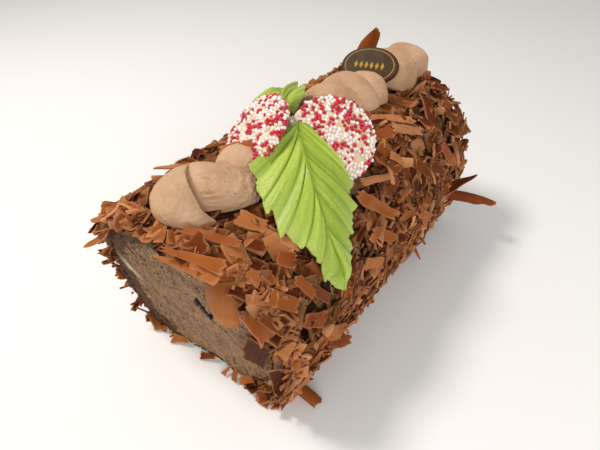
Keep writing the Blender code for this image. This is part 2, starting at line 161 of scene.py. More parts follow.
def curve(knots, t):
    """Catmull-Rom line through the knots: each span is a cubic whose slopes are taken from
    the two neighbours.  t runs from 0 to 1."""
    k = np.asarray(knots, float)
    k = k[:, None] if k.ndim == 1 else k
    k = np.vstack([2 * k[0] - k[1], k, 2 * k[-1] - k[-2]])
    u = np.clip(np.asarray(t, float), 0, 1) * (len(k) - 3)
    i = np.minimum(u.astype(int), len(k) - 4)
    f = (u - i)[:, None]
    a, b, c, d = (k[i + j] for j in range(4))
    out = b + 0.5 * f * (c - a + f * (2 * a - 5 * b + 4 * c - d + f * (3 * (b - c) + d - a)))
    return out[:, 0] if out.shape[1] == 1 else out


def at(x, y=0, z=0):
    """Points from their coordinates, of which some may be plain numbers."""
    return np.stack(np.broadcast_arrays(x, y, z), -1)


def unit(v):
    return np.array(v, float) / np.linalg.norm(v)


def facing(centre, face):
    """A centre, two directions square to `face`, the first of them level, and the face's own."""
    n = unit(face)
    a = unit(np.cross((0, 0, 1), n))
    return np.array(centre, float), a, np.cross(n, a), n


print("noise spread: %.2f" % noise(np.random.default_rng(1).uniform(0, 90, (4000, 3)), 5, 1).std())

# %% [markdown]
# Three mesh makers cover the whole cake.  A *tube* is a grid of rings closed by a point at each
# end: a lobe of cream, a bead, a core.  A *slab* is a grid with a top and a bottom skin, joined
# round the rim: a leaf, a flake.  Many small shapes are stacked along a first axis and joined
# into one mesh, because a thousand objects would be slow and an export drops particles.
# Numbers that differ from flake to flake are stored as attributes for the materials to read.

# %% Mesh makers
def grid_quads(nu, nv, wrap_u=False, wrap_v=False):
    """Quads (four corner numbers each) of an nu by nv grid of points, wrapped if asked."""
    i, j = np.meshgrid(np.arange(nu if wrap_u else nu - 1), np.arange(nv if wrap_v else nv - 1),
                       indexing="ij")
    i2, j2 = (i + 1) % nu, (j + 1) % nv
    return np.stack([i * nv + j, i2 * nv + j, i2 * nv + j2, i * nv + j2], -1).reshape(-1, 4)


def put(name, verts, quads, tris=None, marks=None, sharp=None):
    """A mesh object from millimetre points; marks are per-point numbers kept as attributes."""
    mesh = bpy.data.meshes.new(name)
    faces = quads.tolist() + (tris.tolist() if tris is not None and len(tris) else [])
    mesh.from_pydata((np.asarray(verts) * 0.001).tolist(), [], faces)
    mesh.polygons.foreach_set("use_smooth", np.ones(len(faces), bool))
    for key, values in (marks or {}).items():
        layer = mesh.attributes.new(key, "FLOAT", "POINT")
        layer.data.foreach_set("value", np.asarray(values, np.float32).ravel())
    if sharp:
        mesh.set_sharp_from_angle(angle=math.radians(sharp))
    mesh.update()
    obj = bpy.data.objects.new(name, mesh)
    bpy.context.scene.collection.objects.link(obj)
    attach(obj, "root")
    print("%-18s %7d faces" % (name, len(faces)))
    return obj


def tube_parts(rings):
    """Points and faces of rings (n, m, 3) whose first and last rings close to a point."""
    n, m = rings.shape[:2]
    verts = np.vstack([rings[0].mean(0)[None], rings[1:-1].reshape(-1, 3), rings[-1].mean(0)[None]])
    quads = grid_quads(n - 2, m, wrap_v=True) + 1
    j = np.arange(m)
    k = (j + 1) % m
    last = len(verts) - 1
    base = 1 + (n - 3) * m
    tris = np.vstack([np.c_[np.zeros(m, int), 1 + j, 1 + k], np.c_[np.full(m, last), base + k, base + j]])
    return verts, quads, tris


def outward(verts, quads, tris):
    """Turns the faces over if the volume they enclose comes out negative."""
    a, b, c = (verts[quads[:, i]] for i in (0, 1, 2))
    d = verts[quads[:, 3]]
    size = np.einsum("ij,ij->", a, np.cross(b, c)) + np.einsum("ij,ij->", a, np.cross(c, d))
    return (quads, tris) if size > 0 else (quads[:, ::-1], tris[:, ::-1])


def tube(name, rings, marks=None, sharp=None):
    """One closed tube; marks are (n, m) arrays matching the rings."""
    verts, quads, tris = tube_parts(rings)
    quads, tris = outward(verts, quads, tris)
    flat = {k: np.r_[v[0].mean(), v[1:-1].ravel(), v[-1].mean()] for k, v in (marks or {}).items()}
    return put(name, verts, quads, tris, flat, sharp)


def many(name, points, quads, marks=None, sharp=None, tris=None):
    """Joins a stack of equal shapes (count, points, 3) into one mesh."""
    count, m = points.shape[:2]
    step = (np.arange(count) * m)[:, None, None]
    allq = (quads[None] + step).reshape(-1, 4)
    allt = None if tris is None else (tris[None] + step).reshape(-1, 3)
    return put(name, points.reshape(-1, 3), allq, allt, marks, sharp)


# %% [markdown]
# Materials start from the real stuff.  Colours are given as the eye would match them, in sRGB
# hex, and turned into the linear numbers Blender works in.  One small class adds any node with
# its settings and links, so a finish reads as a list of what happens to the surface.

# %% Colours and nodes
def rgb(code):
    """sRGB hex -> linear RGBA."""
    v = np.array([int(code[i:i + 2], 16) for i in (1, 3, 5)]) / 255
    return (*np.where(v <= 0.04045, v / 12.92, ((v + 0.055) / 1.055) ** 2.4), 1.0)


class Finish:
    """A material in the making.  `add` puts in one node and gives back its output; the other
    methods are short forms of the nodes that every finish uses."""

    def __init__(self, name):
        self.made = bpy.data.materials.new(name)
        self.made.use_nodes = True
        self.tree = self.made.node_tree
        self.tree.nodes.clear()
        self.place = self.add("TexCoord", out="Object")

    def add(self, kind, feeds=None, out=None, stops=None, **settings):
        """One node: feeds are its inputs (number, hex colour, or another node's output), stops
        the places and colours of a ramp, settings its own properties.  Gives back the output
        named, or the first in use."""
        item = self.tree.nodes.new("ShaderNode" + kind)
        for key, value in settings.items():
            setattr(item, key, value)
        if stops:
            el = item.color_ramp.elements
            el[0].position, el[-1].position = stops[0][0], stops[-1][0]
            for spot, _ in stops[1:-1]:
                el.new(spot)
            for e, (_, shade) in zip(el, stops):
                e.color = rgb(shade) if isinstance(shade, str) else (shade, shade, shade, 1)
        for key, value in (feeds or {}).items():
            if isinstance(value, bpy.types.NodeSocket):
                self.tree.links.new(value, item.inputs[key])
            else:
                item.inputs[key].default_value = rgb(value) if isinstance(value, str) else value
        return item.outputs[out] if out else next(o for o in item.outputs if o.enabled)

    def mark(self, name):
        """A number kept in the mesh."""
        return self.add("Attribute", attribute_name=name, out="Fac")

    def calc(self, operation, *values):
        return self.add("Math", dict(enumerate(values)), operation=operation)

    def ramp(self, value, *stops):
        return self.add("ValToRGB", {"Fac": value}, stops=stops)

    def blend(self, share, under, over):
        return self.add("Mix", {0: share, 6: under, 7: over}, data_type="RGBA")

    def clouds(self, size, detail, rough=0.5, vector=None):
        """Noise with lumps of `size` mm."""
        return self.add("TexNoise", {"Vector": self.place if vector is None else vector, "Detail": detail,
                                     "Roughness": rough, "Scale": 1000 / size}, out="Fac")

    def surface(self, colour, rough, bump=None, ior=1.5, specular=0.5, glow=None):
        """The skin.  bump: what stands out, how far in mm, how strongly; glow: the share, the
        colours and the depth in mm of light that passes through.  Gives back the material."""
        feeds = {"Base Color": colour, "Roughness": rough, "IOR": ior, "Specular IOR Level": specular}
        if bump:
            feeds["Normal"] = self.add("Bump", {"Height": bump[0], "Distance": bump[1] / 1000,
                                                "Strength": bump[2]})
        if glow:
            feeds.update({"Subsurface Weight": glow[0], "Subsurface Radius": glow[1],
                          "Subsurface Scale": glow[2] / 1000})
        end = self.tree.nodes.new("ShaderNodeOutputMaterial")
        self.tree.links.new(self.add("BsdfPrincipled", feeds), end.inputs["Surface"])
        return self.made


print("grey card:", [round(v, 3) for v in rgb("#808080")[:3]])

# %% [markdown]
# ## The camera and the light
# The camera stands above the near right corner, looking down at 42 degrees.  The light is
# a soft studio set: one broad lamp over the left shoulder, a weaker one on the right, and a
# bright pale room that fills the shadows, so chocolate keeps its colour in the gaps.

# %% Camera, floor and lamps
def stand(obj, side, up, back, place):
    """Links an object, its own axes along three directions."""
    bpy.context.scene.collection.objects.link(obj)
    turn = np.eye(4)
    turn[:3] = np.c_[side, up, back, place]
    obj.matrix_world = Matrix(turn.tolist())


def make_camera():
    heading, pitch, roll = math.radians(39.224), math.radians(42.177), math.radians(-2.513)
    fwd = np.array([math.cos(heading) * math.cos(pitch), math.sin(heading) * math.cos(pitch),
                    -math.sin(pitch)])
    right = unit(np.cross(fwd, (0, 0, 1)))
    up = np.cross(right, fwd)
    data = bpy.data.cameras.new("camera")
    data.lens, data.sensor_width, data.clip_start = 25.65, 36.0, 0.001
    cam = bpy.data.objects.new("camera", data)
    stand(cam, right * math.cos(roll) + up * math.sin(roll), -right * math.sin(roll) + up * math.cos(roll),
          -fwd, (-0.1399, -0.1054, 0.1859))
    bpy.context.scene.camera = cam


def lamp(name, place, aim, size, watts, colour):
    data = bpy.data.lights.new(name, "AREA")
    data.shape, data.size, data.energy, data.color = "DISK", size, watts, rgb(colour)[:3]
    _, side, up, away = facing(place, np.array(place, float) - np.array(aim, float))
    stand(bpy.data.objects.new(name, data), side, up, away, place)


make_camera()
lamp("key", (-0.20, 0.40, 0.78), (0, 0, 0.05), 0.20, 4.8, "#fff8f0")
lamp("fill", (-0.45, -0.55, 0.45), (0, 0, 0.05), 0.60, 3.0, "#ffffff")
world = bpy.data.worlds.new("room")
world.use_nodes = True
room = world.node_tree.nodes["Background"].inputs
room["Color"].default_value, room["Strength"].default_value = rgb("#fbfaf8"), 0.44
bpy.context.scene.world = world
bpy.context.scene.view_settings.view_transform = "Standard"

FLOOR = 3.0                                        # half its side, m
floor_mesh = bpy.data.meshes.new("floor")
floor_mesh.from_pydata([(u * FLOOR, v * FLOOR, 0) for u, v in ((-1, -1), (1, -1), (1, 1), (-1, 1))], [],
                       [(0, 1, 2, 3)])
floor = bpy.data.objects.new("floor", floor_mesh)
floor.location.z = -0.0002
bpy.context.scene.collection.objects.link(floor)
floor.data.materials.append(Finish("pale_paper_floor").surface("#f4f3f1", 0.8))
floor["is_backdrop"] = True
print("camera and lamps are set")

# %% [markdown]
# ## Inside: mousse, sponge and buttercream
# The near end was cut with a broad knife, which dragged the soft mousse slantwise down the face
# and left shallow streaks, pits and torn crumbs.  A flat cap with a picture of streaks would
# look dead from the side, so the cut is a fine grid whose points really move in and out.
# All three layers share one relief, `cut_relief`, so they stay flush where they meet.

# %% The smeared cut
SMEAR = np.array([-0.52, -0.854])                 # the way the knife went, in (y, z)
HOLE = (-34.6, 28.4, 6.4, 1.7)                     # torn hole: place on the cut, half its two axes, mm
PALE = (-59.4, -3.6, 6.0, 2.3)                     # smear of cream, in the same way
HOLE_DEPTH = 1.8


def cut_flat(y, z):
    """The cut in its own directions: along the knife's way, across it, nothing."""
    return at(y * SMEAR[0] + z * SMEAR[1], y * SMEAR[1] - z * SMEAR[0])


def torn_hole(y, z):
    """0 outside the torn hole, 1 in its middle: a long ellipse with a ragged rim."""
    flat = cut_flat(y, z)
    a, b = flat[..., 0] - HOLE[0], flat[..., 1] - HOLE[1]
    b = b + 1.1 * noise(flat, 2.6, 8) + 0.5 * noise(flat, 1.1, 9)
    return smooth_step(1.25 - np.hypot(a / HOLE[2], b / HOLE[3]), 0, 0.45)


def cut_relief(y, z, seed=3):
    """How far (mm) the cut face stands out: broad waves, streaks drawn along the knife's way,
    fine grain, pits, and one torn hole."""
    flat = cut_flat(y, z)
    wave = 0.9 * noise(flat * (0.5, 1, 1), 16, seed) + 0.35 * noise(flat, 6, seed + 9)
    streak = (0.22 * noise(flat * (0.22, 1, 1), 1.7, seed + 1)
              + 0.16 * noise(flat * (0.3, 1, 1), 0.8, seed + 2))
    grain = 0.16 * noise(flat, 0.8, seed + 3)
    rough = smooth_step(noise(flat, 13.0, seed + 6), -0.3, 0.5)
    pits = -1.1 * smooth_step(noise(flat * (0.6, 1, 1), 1.9, seed + 4), 0.42, 0.8) * (0.25 + 0.75 * rough)
    return wave + streak + grain + pits - HOLE_DEPTH * torn_hole(y, z) * (seed == 3)


def outline(p, depth):
    """The closed outline of the section, p from 0 to 1 (left foot, over the top, right foot,
    back along the underside), drawn in by `depth` mm."""
    side = 2 * FOOT_S
    under = FOOT * WIDTH
    run = np.asarray(p) * (side + under)
    s = np.clip(run, 0, side) - FOOT_S
    y, z, ny, nz = on_arch(s)
    below = run > side
    y = np.where(below, -under / 2 + (run - side), y)
    z, ny, nz = np.where(below, 0, z), np.where(below, 0, ny), np.where(below, -1, nz)
    return np.stack([y - depth * ny, z - depth * nz], -1), np.where(below, FOOT_S + (run - side), s)


def coat_depth(s):
    """Thickness of the buttercream round the arch: thin on the left, thick low on the right,
    and none underneath."""
    arch = np.interp(s, [-118, -60, -20, 20, 60, 85, 105, 118], [1.8, 1.4, 1.6, 2.4, 3.6, 6.4, 7.2, 5.0])
    return np.where(s > FOOT_S + 0.01, 0.3, arch)


def sponge_depth(s):
    """Inner edge of the sponge: wide on the left and under the ridge, a mere line low on the
    right, and ragged, because the knife tore it."""
    more = np.interp(s, [-118, -80, -45, -15, 15, 45, 70, 95, 118, 150],
                     [2.6, 2.4, 3.2, 4.6, 4.2, 3.4, 2.6, 1.4, 2.4, 3.0])
    ragged = noise(at(s), 4.0, 12) + 0.6 * noise(at(s), 1.3, 13)
    return coat_depth(s) + more * (1 + 0.28 * ragged)


def core_rings(m, rings_near, rings_far):
    """Closed core: rings from the middle of the near cut out to its rim, along the log, and
    back in to the middle of the far cut.  Also gives how near each point is to the sponge, more on
    the left; this weight thickens the specks and sets a dark rim band, partly painted shade."""
    p = np.linspace(0, 1, m, endpoint=False)
    edge = outline(p, sponge_depth(outline(p, 0)[1]) - 0.5)[0]
    mid = np.array([0.0, 42.0])
    share = np.r_[np.linspace(0, 1, rings_near) ** 0.8, np.ones(8), np.linspace(1, 0, rings_far) ** 0.8]
    yz = mid + share[:, None, None] * (edge - mid)
    y, z = yz[..., 0], np.maximum(yz[..., 1], 0.4)
    near = near_x(y, z) - cut_relief(y, z)
    far = FAR_X + np.clip(cut_relief(y, z, 31) * 0.8, -2.0, 1.0)
    go = np.r_[np.zeros(rings_near), np.linspace(0, 1, 10)[1:-1], np.ones(rings_far)][:, None]
    side = smooth_step(outline(p, 0)[1], 60, -20)[None]
    return at(near * (1 - go) + far * go, y, z), share[:, None] * (0.35 + 0.65 * side)


rings, dark_left_edge = core_rings(460, 104, 60)
flat = cut_flat(rings[..., 1], rings[..., 2])
pale = np.exp(-((flat[..., 0] - PALE[0]) / PALE[2]) ** 2
              - ((flat[..., 1] - PALE[1] + 0.9 * noise(flat, 3, 5)) / PALE[3]) ** 2)
near = rings[..., 0] < 0
# the torn hole's mark: in the mousse it is painted purple-black, as painted shade in the hollow
hole = np.clip(torn_hole(rings[..., 1], rings[..., 2]) * 3, 0, 1)
mousse = tube("mousse_cut", rings, {"pale": pale * near, "hole": hole * near, "dark_left_edge": dark_left_edge}, sharp=60)
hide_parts("mousse_core")


# %% [markdown]
# The sponge is an open crumb: a ring of torn little cells.  Its ring is carried round the
# section as a closed loop, out along the near cut, back under the buttercream, and round the
# far cut, so the layer really runs through the cake.

# %% The sponge ring
def ring_layer(m, outer, inner, near_rows, far_rows, relief):
    """Grid of loops round a layer between two depths; each of the m places round the section
    holds one loop: near cut (outer to inner), inside, far cut (inner to outer), outside."""
    p = np.linspace(0, 1, m, endpoint=False)
    _, s = outline(p, 0)
    a, b = outline(p, outer(s))[0], outline(p, inner(s))[0]
    share = np.r_[np.linspace(0, 1, near_rows), np.ones(4), np.linspace(1, 0, far_rows), np.zeros(4)]
    way = np.linspace(0, 1, 6)[1:-1]
    go = np.r_[np.zeros(near_rows), way, np.ones(far_rows), way[::-1]]
    yz = a[None] + share[:, None, None] * (b - a)[None]
    y, z = yz[..., 0], np.maximum(yz[..., 1], 0.05)
    near = near_x(y, z) - relief(y, z, 3)
    far = FAR_X + relief(y, z, 31)
    go = go[:, None]
    return at(near * (1 - go) + far * go, y, z)


def crumb_relief(y, z, seed):
    """Torn open cells: the shared cut, set back a little, with lumps and deep little holes."""
    p = at(y, z, seed)
    cells = 1.1 * noise(p, 1.8, seed + 40) + 0.7 * noise(p, 0.8, seed + 41)
    holes = -1.8 * smooth_step(noise(p, 1.4, seed + 42), 0.2, 0.7)
    return np.clip(cut_relief(y, z, seed) * 0.6 - 0.6 + cells + holes, -4.0, 1.2)


loops = ring_layer(860, lambda s: coat_depth(s) - 0.3, lambda s: sponge_depth(s) + 0.6, 20, 14,
                   crumb_relief)
faces, _ = outward(loops.reshape(-1, 3), grid_quads(*loops.shape[:2], True, True), np.zeros((0, 3), int))
sponge = put("sponge_torn", loops.reshape(-1, 3), faces, sharp=75)
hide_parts("sponge_jacket")

# %% [markdown]
# The buttercream was spread with a palette knife and the flakes were pressed in while it was
# soft, so it is lumpy, with smears and dents.  It shows between the flakes low on the right.

# %% The buttercream coat
ALONG, ROUND = 130, 340


def coat_bump(x, s):
    """Relief of the spread coat: broad lumps, ridges left by the knife, dents of the flakes."""
    p = at(x, s)
    ridge = 1 - np.abs(noise(p * (0.5, 1, 1), 4.5, 60)) * 2
    return 0.7 * noise(p, 7, 61) + 0.6 * np.clip(ridge, 0, 1) + 0.45 * noise(p, 2.2, 62) - 0.2


def coat_grid():
    """Loops round the thickness of the coat, one for each place s round the arch: outside from
    the near cut to the far one, then the far cut, the inside and the near cut."""
    s = np.linspace(-FOOT_S, FOOT_S, ROUND)[:, None]
    n_in, n_cut = 8, 9
    go = np.r_[np.linspace(0, 1, ALONG), np.ones(n_cut), np.linspace(1, 0, n_in), np.zeros(n_cut)]
    share = np.r_[np.zeros(ALONG), np.linspace(0, 1, n_cut + 1)[1:], np.ones(n_in),
                  np.linspace(1, 0, n_cut + 1)[1:]]
    y, z, ny, nz = on_arch(s)
    x0 = near_x(y, z) * (1 - go) + FAR_X * go
    lump = coat_bump(x0, s + 0 * go) * (share == 0) * smooth_step(z, 0, 6)
    depth = share * (coat_depth(s) + 0.4) - lump
    yy, zz = y - depth * ny, np.maximum(z - depth * nz, 0.05 + 0 * go)
    cut = near_x(yy, zz) - cut_relief(yy, zz) * 0.7 - 0.8 * noise(at(yy, zz), 2.5, 70)
    far = FAR_X + 0.5 * noise(at(yy, zz, 9), 2.5, 71) - 0.4
    return at(cut * (1 - go) + far * go, yy, zz), smooth_step(s + 0 * go, 55, 10)


loops, dark_left_edge = coat_grid()
ends = [np.repeat(loops[k][None].mean(1, keepdims=True), loops.shape[1], 1) for k in (0, -1)]
coat = tube("buttercream_spread", np.concatenate([ends[0], loops, ends[1]]),
            {"dark_left_edge": np.concatenate([dark_left_edge[:1], dark_left_edge, dark_left_edge[-1:]])}, sharp=70)
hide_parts("buttercream_coat", "flake_crust")

# %% [markdown]
# ## The crust of chocolate flakes
# A block of milk chocolate is scraped into shards, slivers, curls and dust, and the cake is
# rolled in them.  Each kind is one function of two parameters, a sheet with four broken
# corners, bent twice along circle arcs; the dice give every flake its own size, bend and lie.
# Particles would scatter them faster, but they are lost when the model leaves Blender.

# %% One flake as a function
def flake_sheets(dice, count, length, width, thick, bend_long, bend_wide, na=5, nb=4, corner=0.20,
                 ragged=0.045):
    """Stack of flakes (count, 2*na*nb, 3) lying in the xy plane, and each point's place across
    its flake.  The four corners of the sheet (a, b) are shifted at random and the rest follows
    bilinearly; the rim is chipped; then the sheet is bent across its width on a circle, along
    its length on another, and the two skins stand half the thickness off the middle."""
    a, b = np.meshgrid(np.linspace(-1, 1, na), np.linspace(-1, 1, nb), indexing="ij")
    half_l = dice.uniform(*length, (count, 1, 1)) / 2
    half_w = np.minimum(dice.uniform(*width, (count, 1, 1)) / 2, half_l * 0.9)
    rim = (np.abs(a) == 1) | (np.abs(b) == 1)
    shift = dice.normal(0, corner, (count, 2, 2, 2))
    chip = dice.normal(0, ragged, (count, na, nb, 2)) * (0.25 + 0.75 * rim[..., None])
    wa, wb = (1 + a) / 2, (1 + b) / 2
    move = sum(shift[:, i, j][:, None, None] * (np.abs(1 - i - wa) * np.abs(1 - j - wb))[..., None]
               for i in (0, 1) for j in (0, 1)) + chip
    x = a * half_l + 1.5 * move[..., 0] * half_w
    y = (b + move[..., 1]) * half_w
    k1 = dice.uniform(*bend_long, (count, 1, 1)) * dice.choice([-1, 1], (count, 1, 1)) + 1e-4
    k2 = dice.uniform(*bend_wide, (count, 1, 1)) * dice.choice([-1, 1], (count, 1, 1)) + 1e-4
    t = dice.uniform(*thick, (count, 1, 1)) / 2
    twist = dice.normal(0, 0.02, (count, 1, 1))
    skins = []
    for side_t in (t, -t):
        yy = (1 / k2 - side_t) * np.sin(k2 * y)
        zz = 1 / k2 - (1 / k2 - side_t) * np.cos(k2 * y) + twist * x * y
        xx = (1 / k1 - zz) * np.sin(k1 * x)
        zz = 1 / k1 - (1 / k1 - zz) * np.cos(k1 * x)
        skins.append(np.stack([xx, yy, zz], -1).reshape(count, -1, 3))
    return np.concatenate(skins, 1), np.tile(y.reshape(count, -1), 2)


def flake_faces(na=5, nb=4):
    """Faces of one sheet: top, bottom and a rim of quads; and 1 on its outline, 0 inside."""
    top = grid_quads(na, nb)
    n = na * nb
    rim = np.r_[np.arange(nb), np.arange(1, na) * nb + nb - 1, (na - 1) * nb + np.arange(nb - 2, -1, -1),
                np.arange(na - 2, 0, -1) * nb]
    nxt = np.roll(rim, -1)
    edge = np.zeros(n)
    edge[rim] = 1
    return np.vstack([top, top[:, ::-1] + n, np.c_[rim, nxt, n + nxt, n + rim]]), np.tile(edge, 2)


def lay(shapes, x, s, yaw, tilt, roll, lift, hang=False):
    """Lays shapes on the coat at (x, s): turned by yaw in the surface, tipped up by tilt along
    their length and rolled about it, then raised till their lowest point is `lift` off it; a
    shape that hangs over an edge has its middle `lift` off the coat instead."""
    y, z, ny, nz = on_arch(s)
    n, e1, e2 = at(0 * ny, ny, nz), at(0 * ny + 1), at(0 * ny, nz, -ny)
    cy, sy, ct, st, cr, sr = (f(v)[:, None] for v in (yaw, tilt, roll) for f in (np.cos, np.sin))
    f, g = cy * e1 + sy * e2, -sy * e1 + cy * e2
    f, n1 = ct * f + st * n, -st * f + ct * n
    g, n1 = cr * g + sr * n1, -sr * g + cr * n1
    turned = shapes[..., :1] * f[:, None] + shapes[..., 1:2] * g[:, None] + shapes[..., 2:] * n1[:, None]
    rise = np.einsum("ijk,ik->ij", turned, n)
    base = lift if hang else lift - rise.min(1)
    pts = turned + base[:, None, None] * n[:, None] + at(x, y, z)[:, None]
    return pts, base + rise.max(1), base[:, None] + rise


# %% [markdown]
# Flakes aren't laid where the cream, the discs or the leaves sit, apart from low ones that peep
# out from under them.  `headroom` says how tall the heap may be at each place: nothing under
# the cream, little under the leaves, and as much as the crust of the solids elsewhere.

# %% Where flakes may lie
HEAP = 7.2                                         # mm, the tallest heap of flakes
GROUND = 0.1                                       # mm, the lowest a flake may reach
LOBES = [(-75.5, 4.5, 18.5, 11.5, 70), (-57.5, -6.5, 15.5, 13.5, 35), (-48.0, 2.0, 12.5, 11.0, -45),
         (-15.5, 1.5, 15.0, 12.5, 30), (13.0, 2.5, 14.5, 13.5, 20), (30.0, 3.5, 13.5, 14.5, 0),
         (41.0, -9.0, 11.5, 11.5, 0), (68.0, -6.0, 17.5, 14.5, 0)]
DISCS = {"left": ((-33.6, 3.6, 100.4), (-0.552, 0.386, 0.739), 17.4),
         "right": ((-15.3, -22.9, 96.5), (-0.405, -0.587, 0.701), 18.0)}


def off_ground(pts):
    """Lifts every shape of a stack that would reach below the ground."""
    pts[..., 2] += np.maximum(GROUND - pts[..., 2].min(1), 0)[:, None]


def near_left(x, s):
    """The left flank by the near cut, where the crust is thin."""
    return (s < -42) & (x < -66)


def headroom(x, s):
    """Tallest heap (mm) allowed at (x, s)."""
    y, z, _, _ = on_arch(s)
    room = np.full(np.shape(x), HEAP)
    for cx, cy, a, b, turn in LOBES:
        c, w = math.cos(math.radians(turn)), math.sin(math.radians(turn))
        u, v = (x - cx) * c + (y - cy) * w, -(x - cx) * w + (y - cy) * c
        away = np.where(z > 60, np.hypot(u / (a - 2), v / (b - 2)) - 1, 9) * b
        room = np.minimum(room, np.where(away < 0, 0, 3.5 + 1.4 * away))
    for (cx, cy, _), _, r in DISCS.values():
        away = np.where(z > 60, np.hypot(x - cx, y - cy) - r + 3, 9)
        room = np.minimum(room, np.where(away < 0, 0.6, 2.0 + 1.0 * away))
    for cx, cs in ((-42.0, 34.0), (11.0, -35.0)):
        u, v = (x - cx) * 0.45 - (s - cs) * 0.89, (x - cx) * 0.89 + (s - cs) * 0.45
        away = (np.hypot(u / 28.0, v / 16.0) - 1.0) * 20
        room = np.minimum(room, np.where(away < 0, 4.2, 4.2 + 1.2 * away))
    return np.where(near_left(x, s), np.minimum(room, 2.2), room)


def scatter(dice, count, patchy, where):
    """Random places over the crust, or along the near rim, thinned in patches low on the right,
    where the coat shows."""
    s = dice.uniform(-FOOT_S + 0.5, FOOT_S - 0.5, count)
    y, z, _, _ = on_arch(s)
    f = dice.uniform(-0.010, 0.998, count)
    x = near_x(y, z) * (1 - f) + FAR_X * f
    patch = (np.hypot((x + 79) / 10.5, (s - 62) / 11) < 1) & (dice.uniform(0, 1, count) < 0.93)
    if where == "rim":
        x = near_x(y, z) - dice.uniform(-3.0, 1.8, count)
    bare = noise(at(x, s), 9.0, 80)
    painted_edge_light = (bare > 0.30 + 0.25 * (s < 40)) & (s > 25) & (x > np.where(s > 50, -82, -62))
    keep = ~(painted_edge_light & (dice.uniform(0, 1, count) < patchy)) & ~patch
    if where == "rim":
        keep = ((s < 74) | (bare < 0.1)) & ((s > -30) | (dice.uniform(0, 1, count) < 0.04)) & ~patch
    if where == "front":
        keep &= (x < -38) & (s > 6) & (s < 92)
    return x[keep], s[keep]


def crust(name, seed, count, shape, tilt, lift, patchy, na=5, nb=4, tone=(0, 1), limit=1.0, yaw=None,
          where="all"):
    """One kind of flake all over the crust, joined into one mesh."""
    dice = np.random.default_rng(seed)
    x, s = scatter(dice, count, patchy, where)
    n = len(x)
    shapes, across = flake_sheets(dice, n, na=na, nb=nb, **shape)
    turn = dice.uniform(0, 2 * np.pi, n) if yaw is None else dice.normal(yaw[0], yaw[1], n)
    tip = np.abs(dice.normal(0, math.radians(tilt), n))
    rolled = dice.normal(0, math.radians(tilt * 0.8), n)
    raised = dice.uniform(*lift, n)
    room = headroom(x, s)
    if where == "rim":
        tip = -dice.normal(0.28, 0.30, n)
        pts, top, up = lay(shapes, x, s, turn, tip, rolled, np.minimum(raised, room), hang=True)
        keep = room > 1.0
    else:
        pts, top, up = lay(shapes, x, s, turn, tip, rolled, raised)
        calm = np.where(top > room * limit, 0.25, 1.0)
        pts, top, up = lay(shapes, x, s, turn, tip * calm, rolled * calm, np.minimum(raised, room * 0.3))
        keep = (top < room * limit + 0.8) & (room > 1.0)
    keep &= pts[..., 0].max(1) < FAR_X + 4.0
    # a higher up mark gives the near-left flank and the overhanging flakes less painted shade
    lighter = np.where(near_left(x, s), 3.6, 0) + 4.0 * (where == "rim")
    pts, across, up, n = pts[keep], across[keep], up[keep] + lighter[keep, None], int(keep.sum())
    off_ground(pts)
    faces, rim = flake_faces(na, nb)
    obj = many(name, pts, faces, {"tone": np.repeat(dice.uniform(*tone, n), shapes.shape[1]),
                                  "rim": np.tile(rim, n), "across": across, "up": up}, sharp=38)
    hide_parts("flake_crust")
    return obj


flake_pieces = [
    crust("flake_shards", 11, 2100, dict(length=(4.5, 12), width=(2.6, 6.6), thick=(0.7, 1.4),
          bend_long=(0.0, 0.07), bend_wide=(0.0, 0.12)), 31, (-0.5, 3.2), 0.85),
    crust("flake_strips", 12, 1000, dict(length=(8, 17), width=(1.6, 3.6), thick=(0.5, 1.0),
          bend_long=(0.0, 0.07), bend_wide=(0.05, 0.40)), 25, (0.0, 4.0), 0.8),
    crust("flake_slivers", 13, 2600, dict(length=(3, 10), width=(0.5, 1.4), thick=(0.35, 0.8),
          bend_long=(0.0, 0.15), bend_wide=(0.0, 0.2)), 34, (-0.3, 4.6), 0.75, nb=3, limit=1.1),
    crust("flake_curls", 14, 200, dict(length=(4, 9), width=(5, 9), thick=(0.4, 0.8), bend_long=(0.0, 0.05),
          bend_wide=(0.35, 0.75)), 22, (0.0, 2.4), 0.6, na=3, nb=9, limit=1.1),
    crust("flake_crumbs", 15, 3800, dict(length=(0.8, 3.0), width=(0.6, 2.2), thick=(0.4, 1.0),
          bend_long=(0.0, 0.2), bend_wide=(0.0, 0.2)), 36, (-0.2, 4.2), 0.3, na=3, nb=2, limit=1.1),
    crust("flake_overhang", 16, 560, dict(length=(5, 12), width=(2.6, 6.5), thick=(0.5, 1.0),
          bend_long=(0.0, 0.08), bend_wide=(0.0, 0.2)), 24, (0.2, 3.8), 0.0, yaw=(math.pi, 0.75),
          where="rim"),
    crust("flake_front", 17, 210, dict(length=(9, 19), width=(2.6, 6.5), thick=(0.7, 1.2),
          bend_long=(0.0, 0.04), bend_wide=(0.0, 0.10)), 15, (2.2, 4.6), 0.0, yaw=(1.45, 0.5), limit=1.15,
          where="front"),
]

# %% [markdown]
# ## The piped cream
# The cream was piped with a slit nozzle: each press swells on one side and leaves a crest as
# thin as a knife edge on the other, with a tail where the nozzle pulled away.  A profile is
# carried along the crest's path.  It is a superellipse, round on the right of the path; on
# the left its power drops below one, which turns the bulge into a hollow and sharpens the crest.

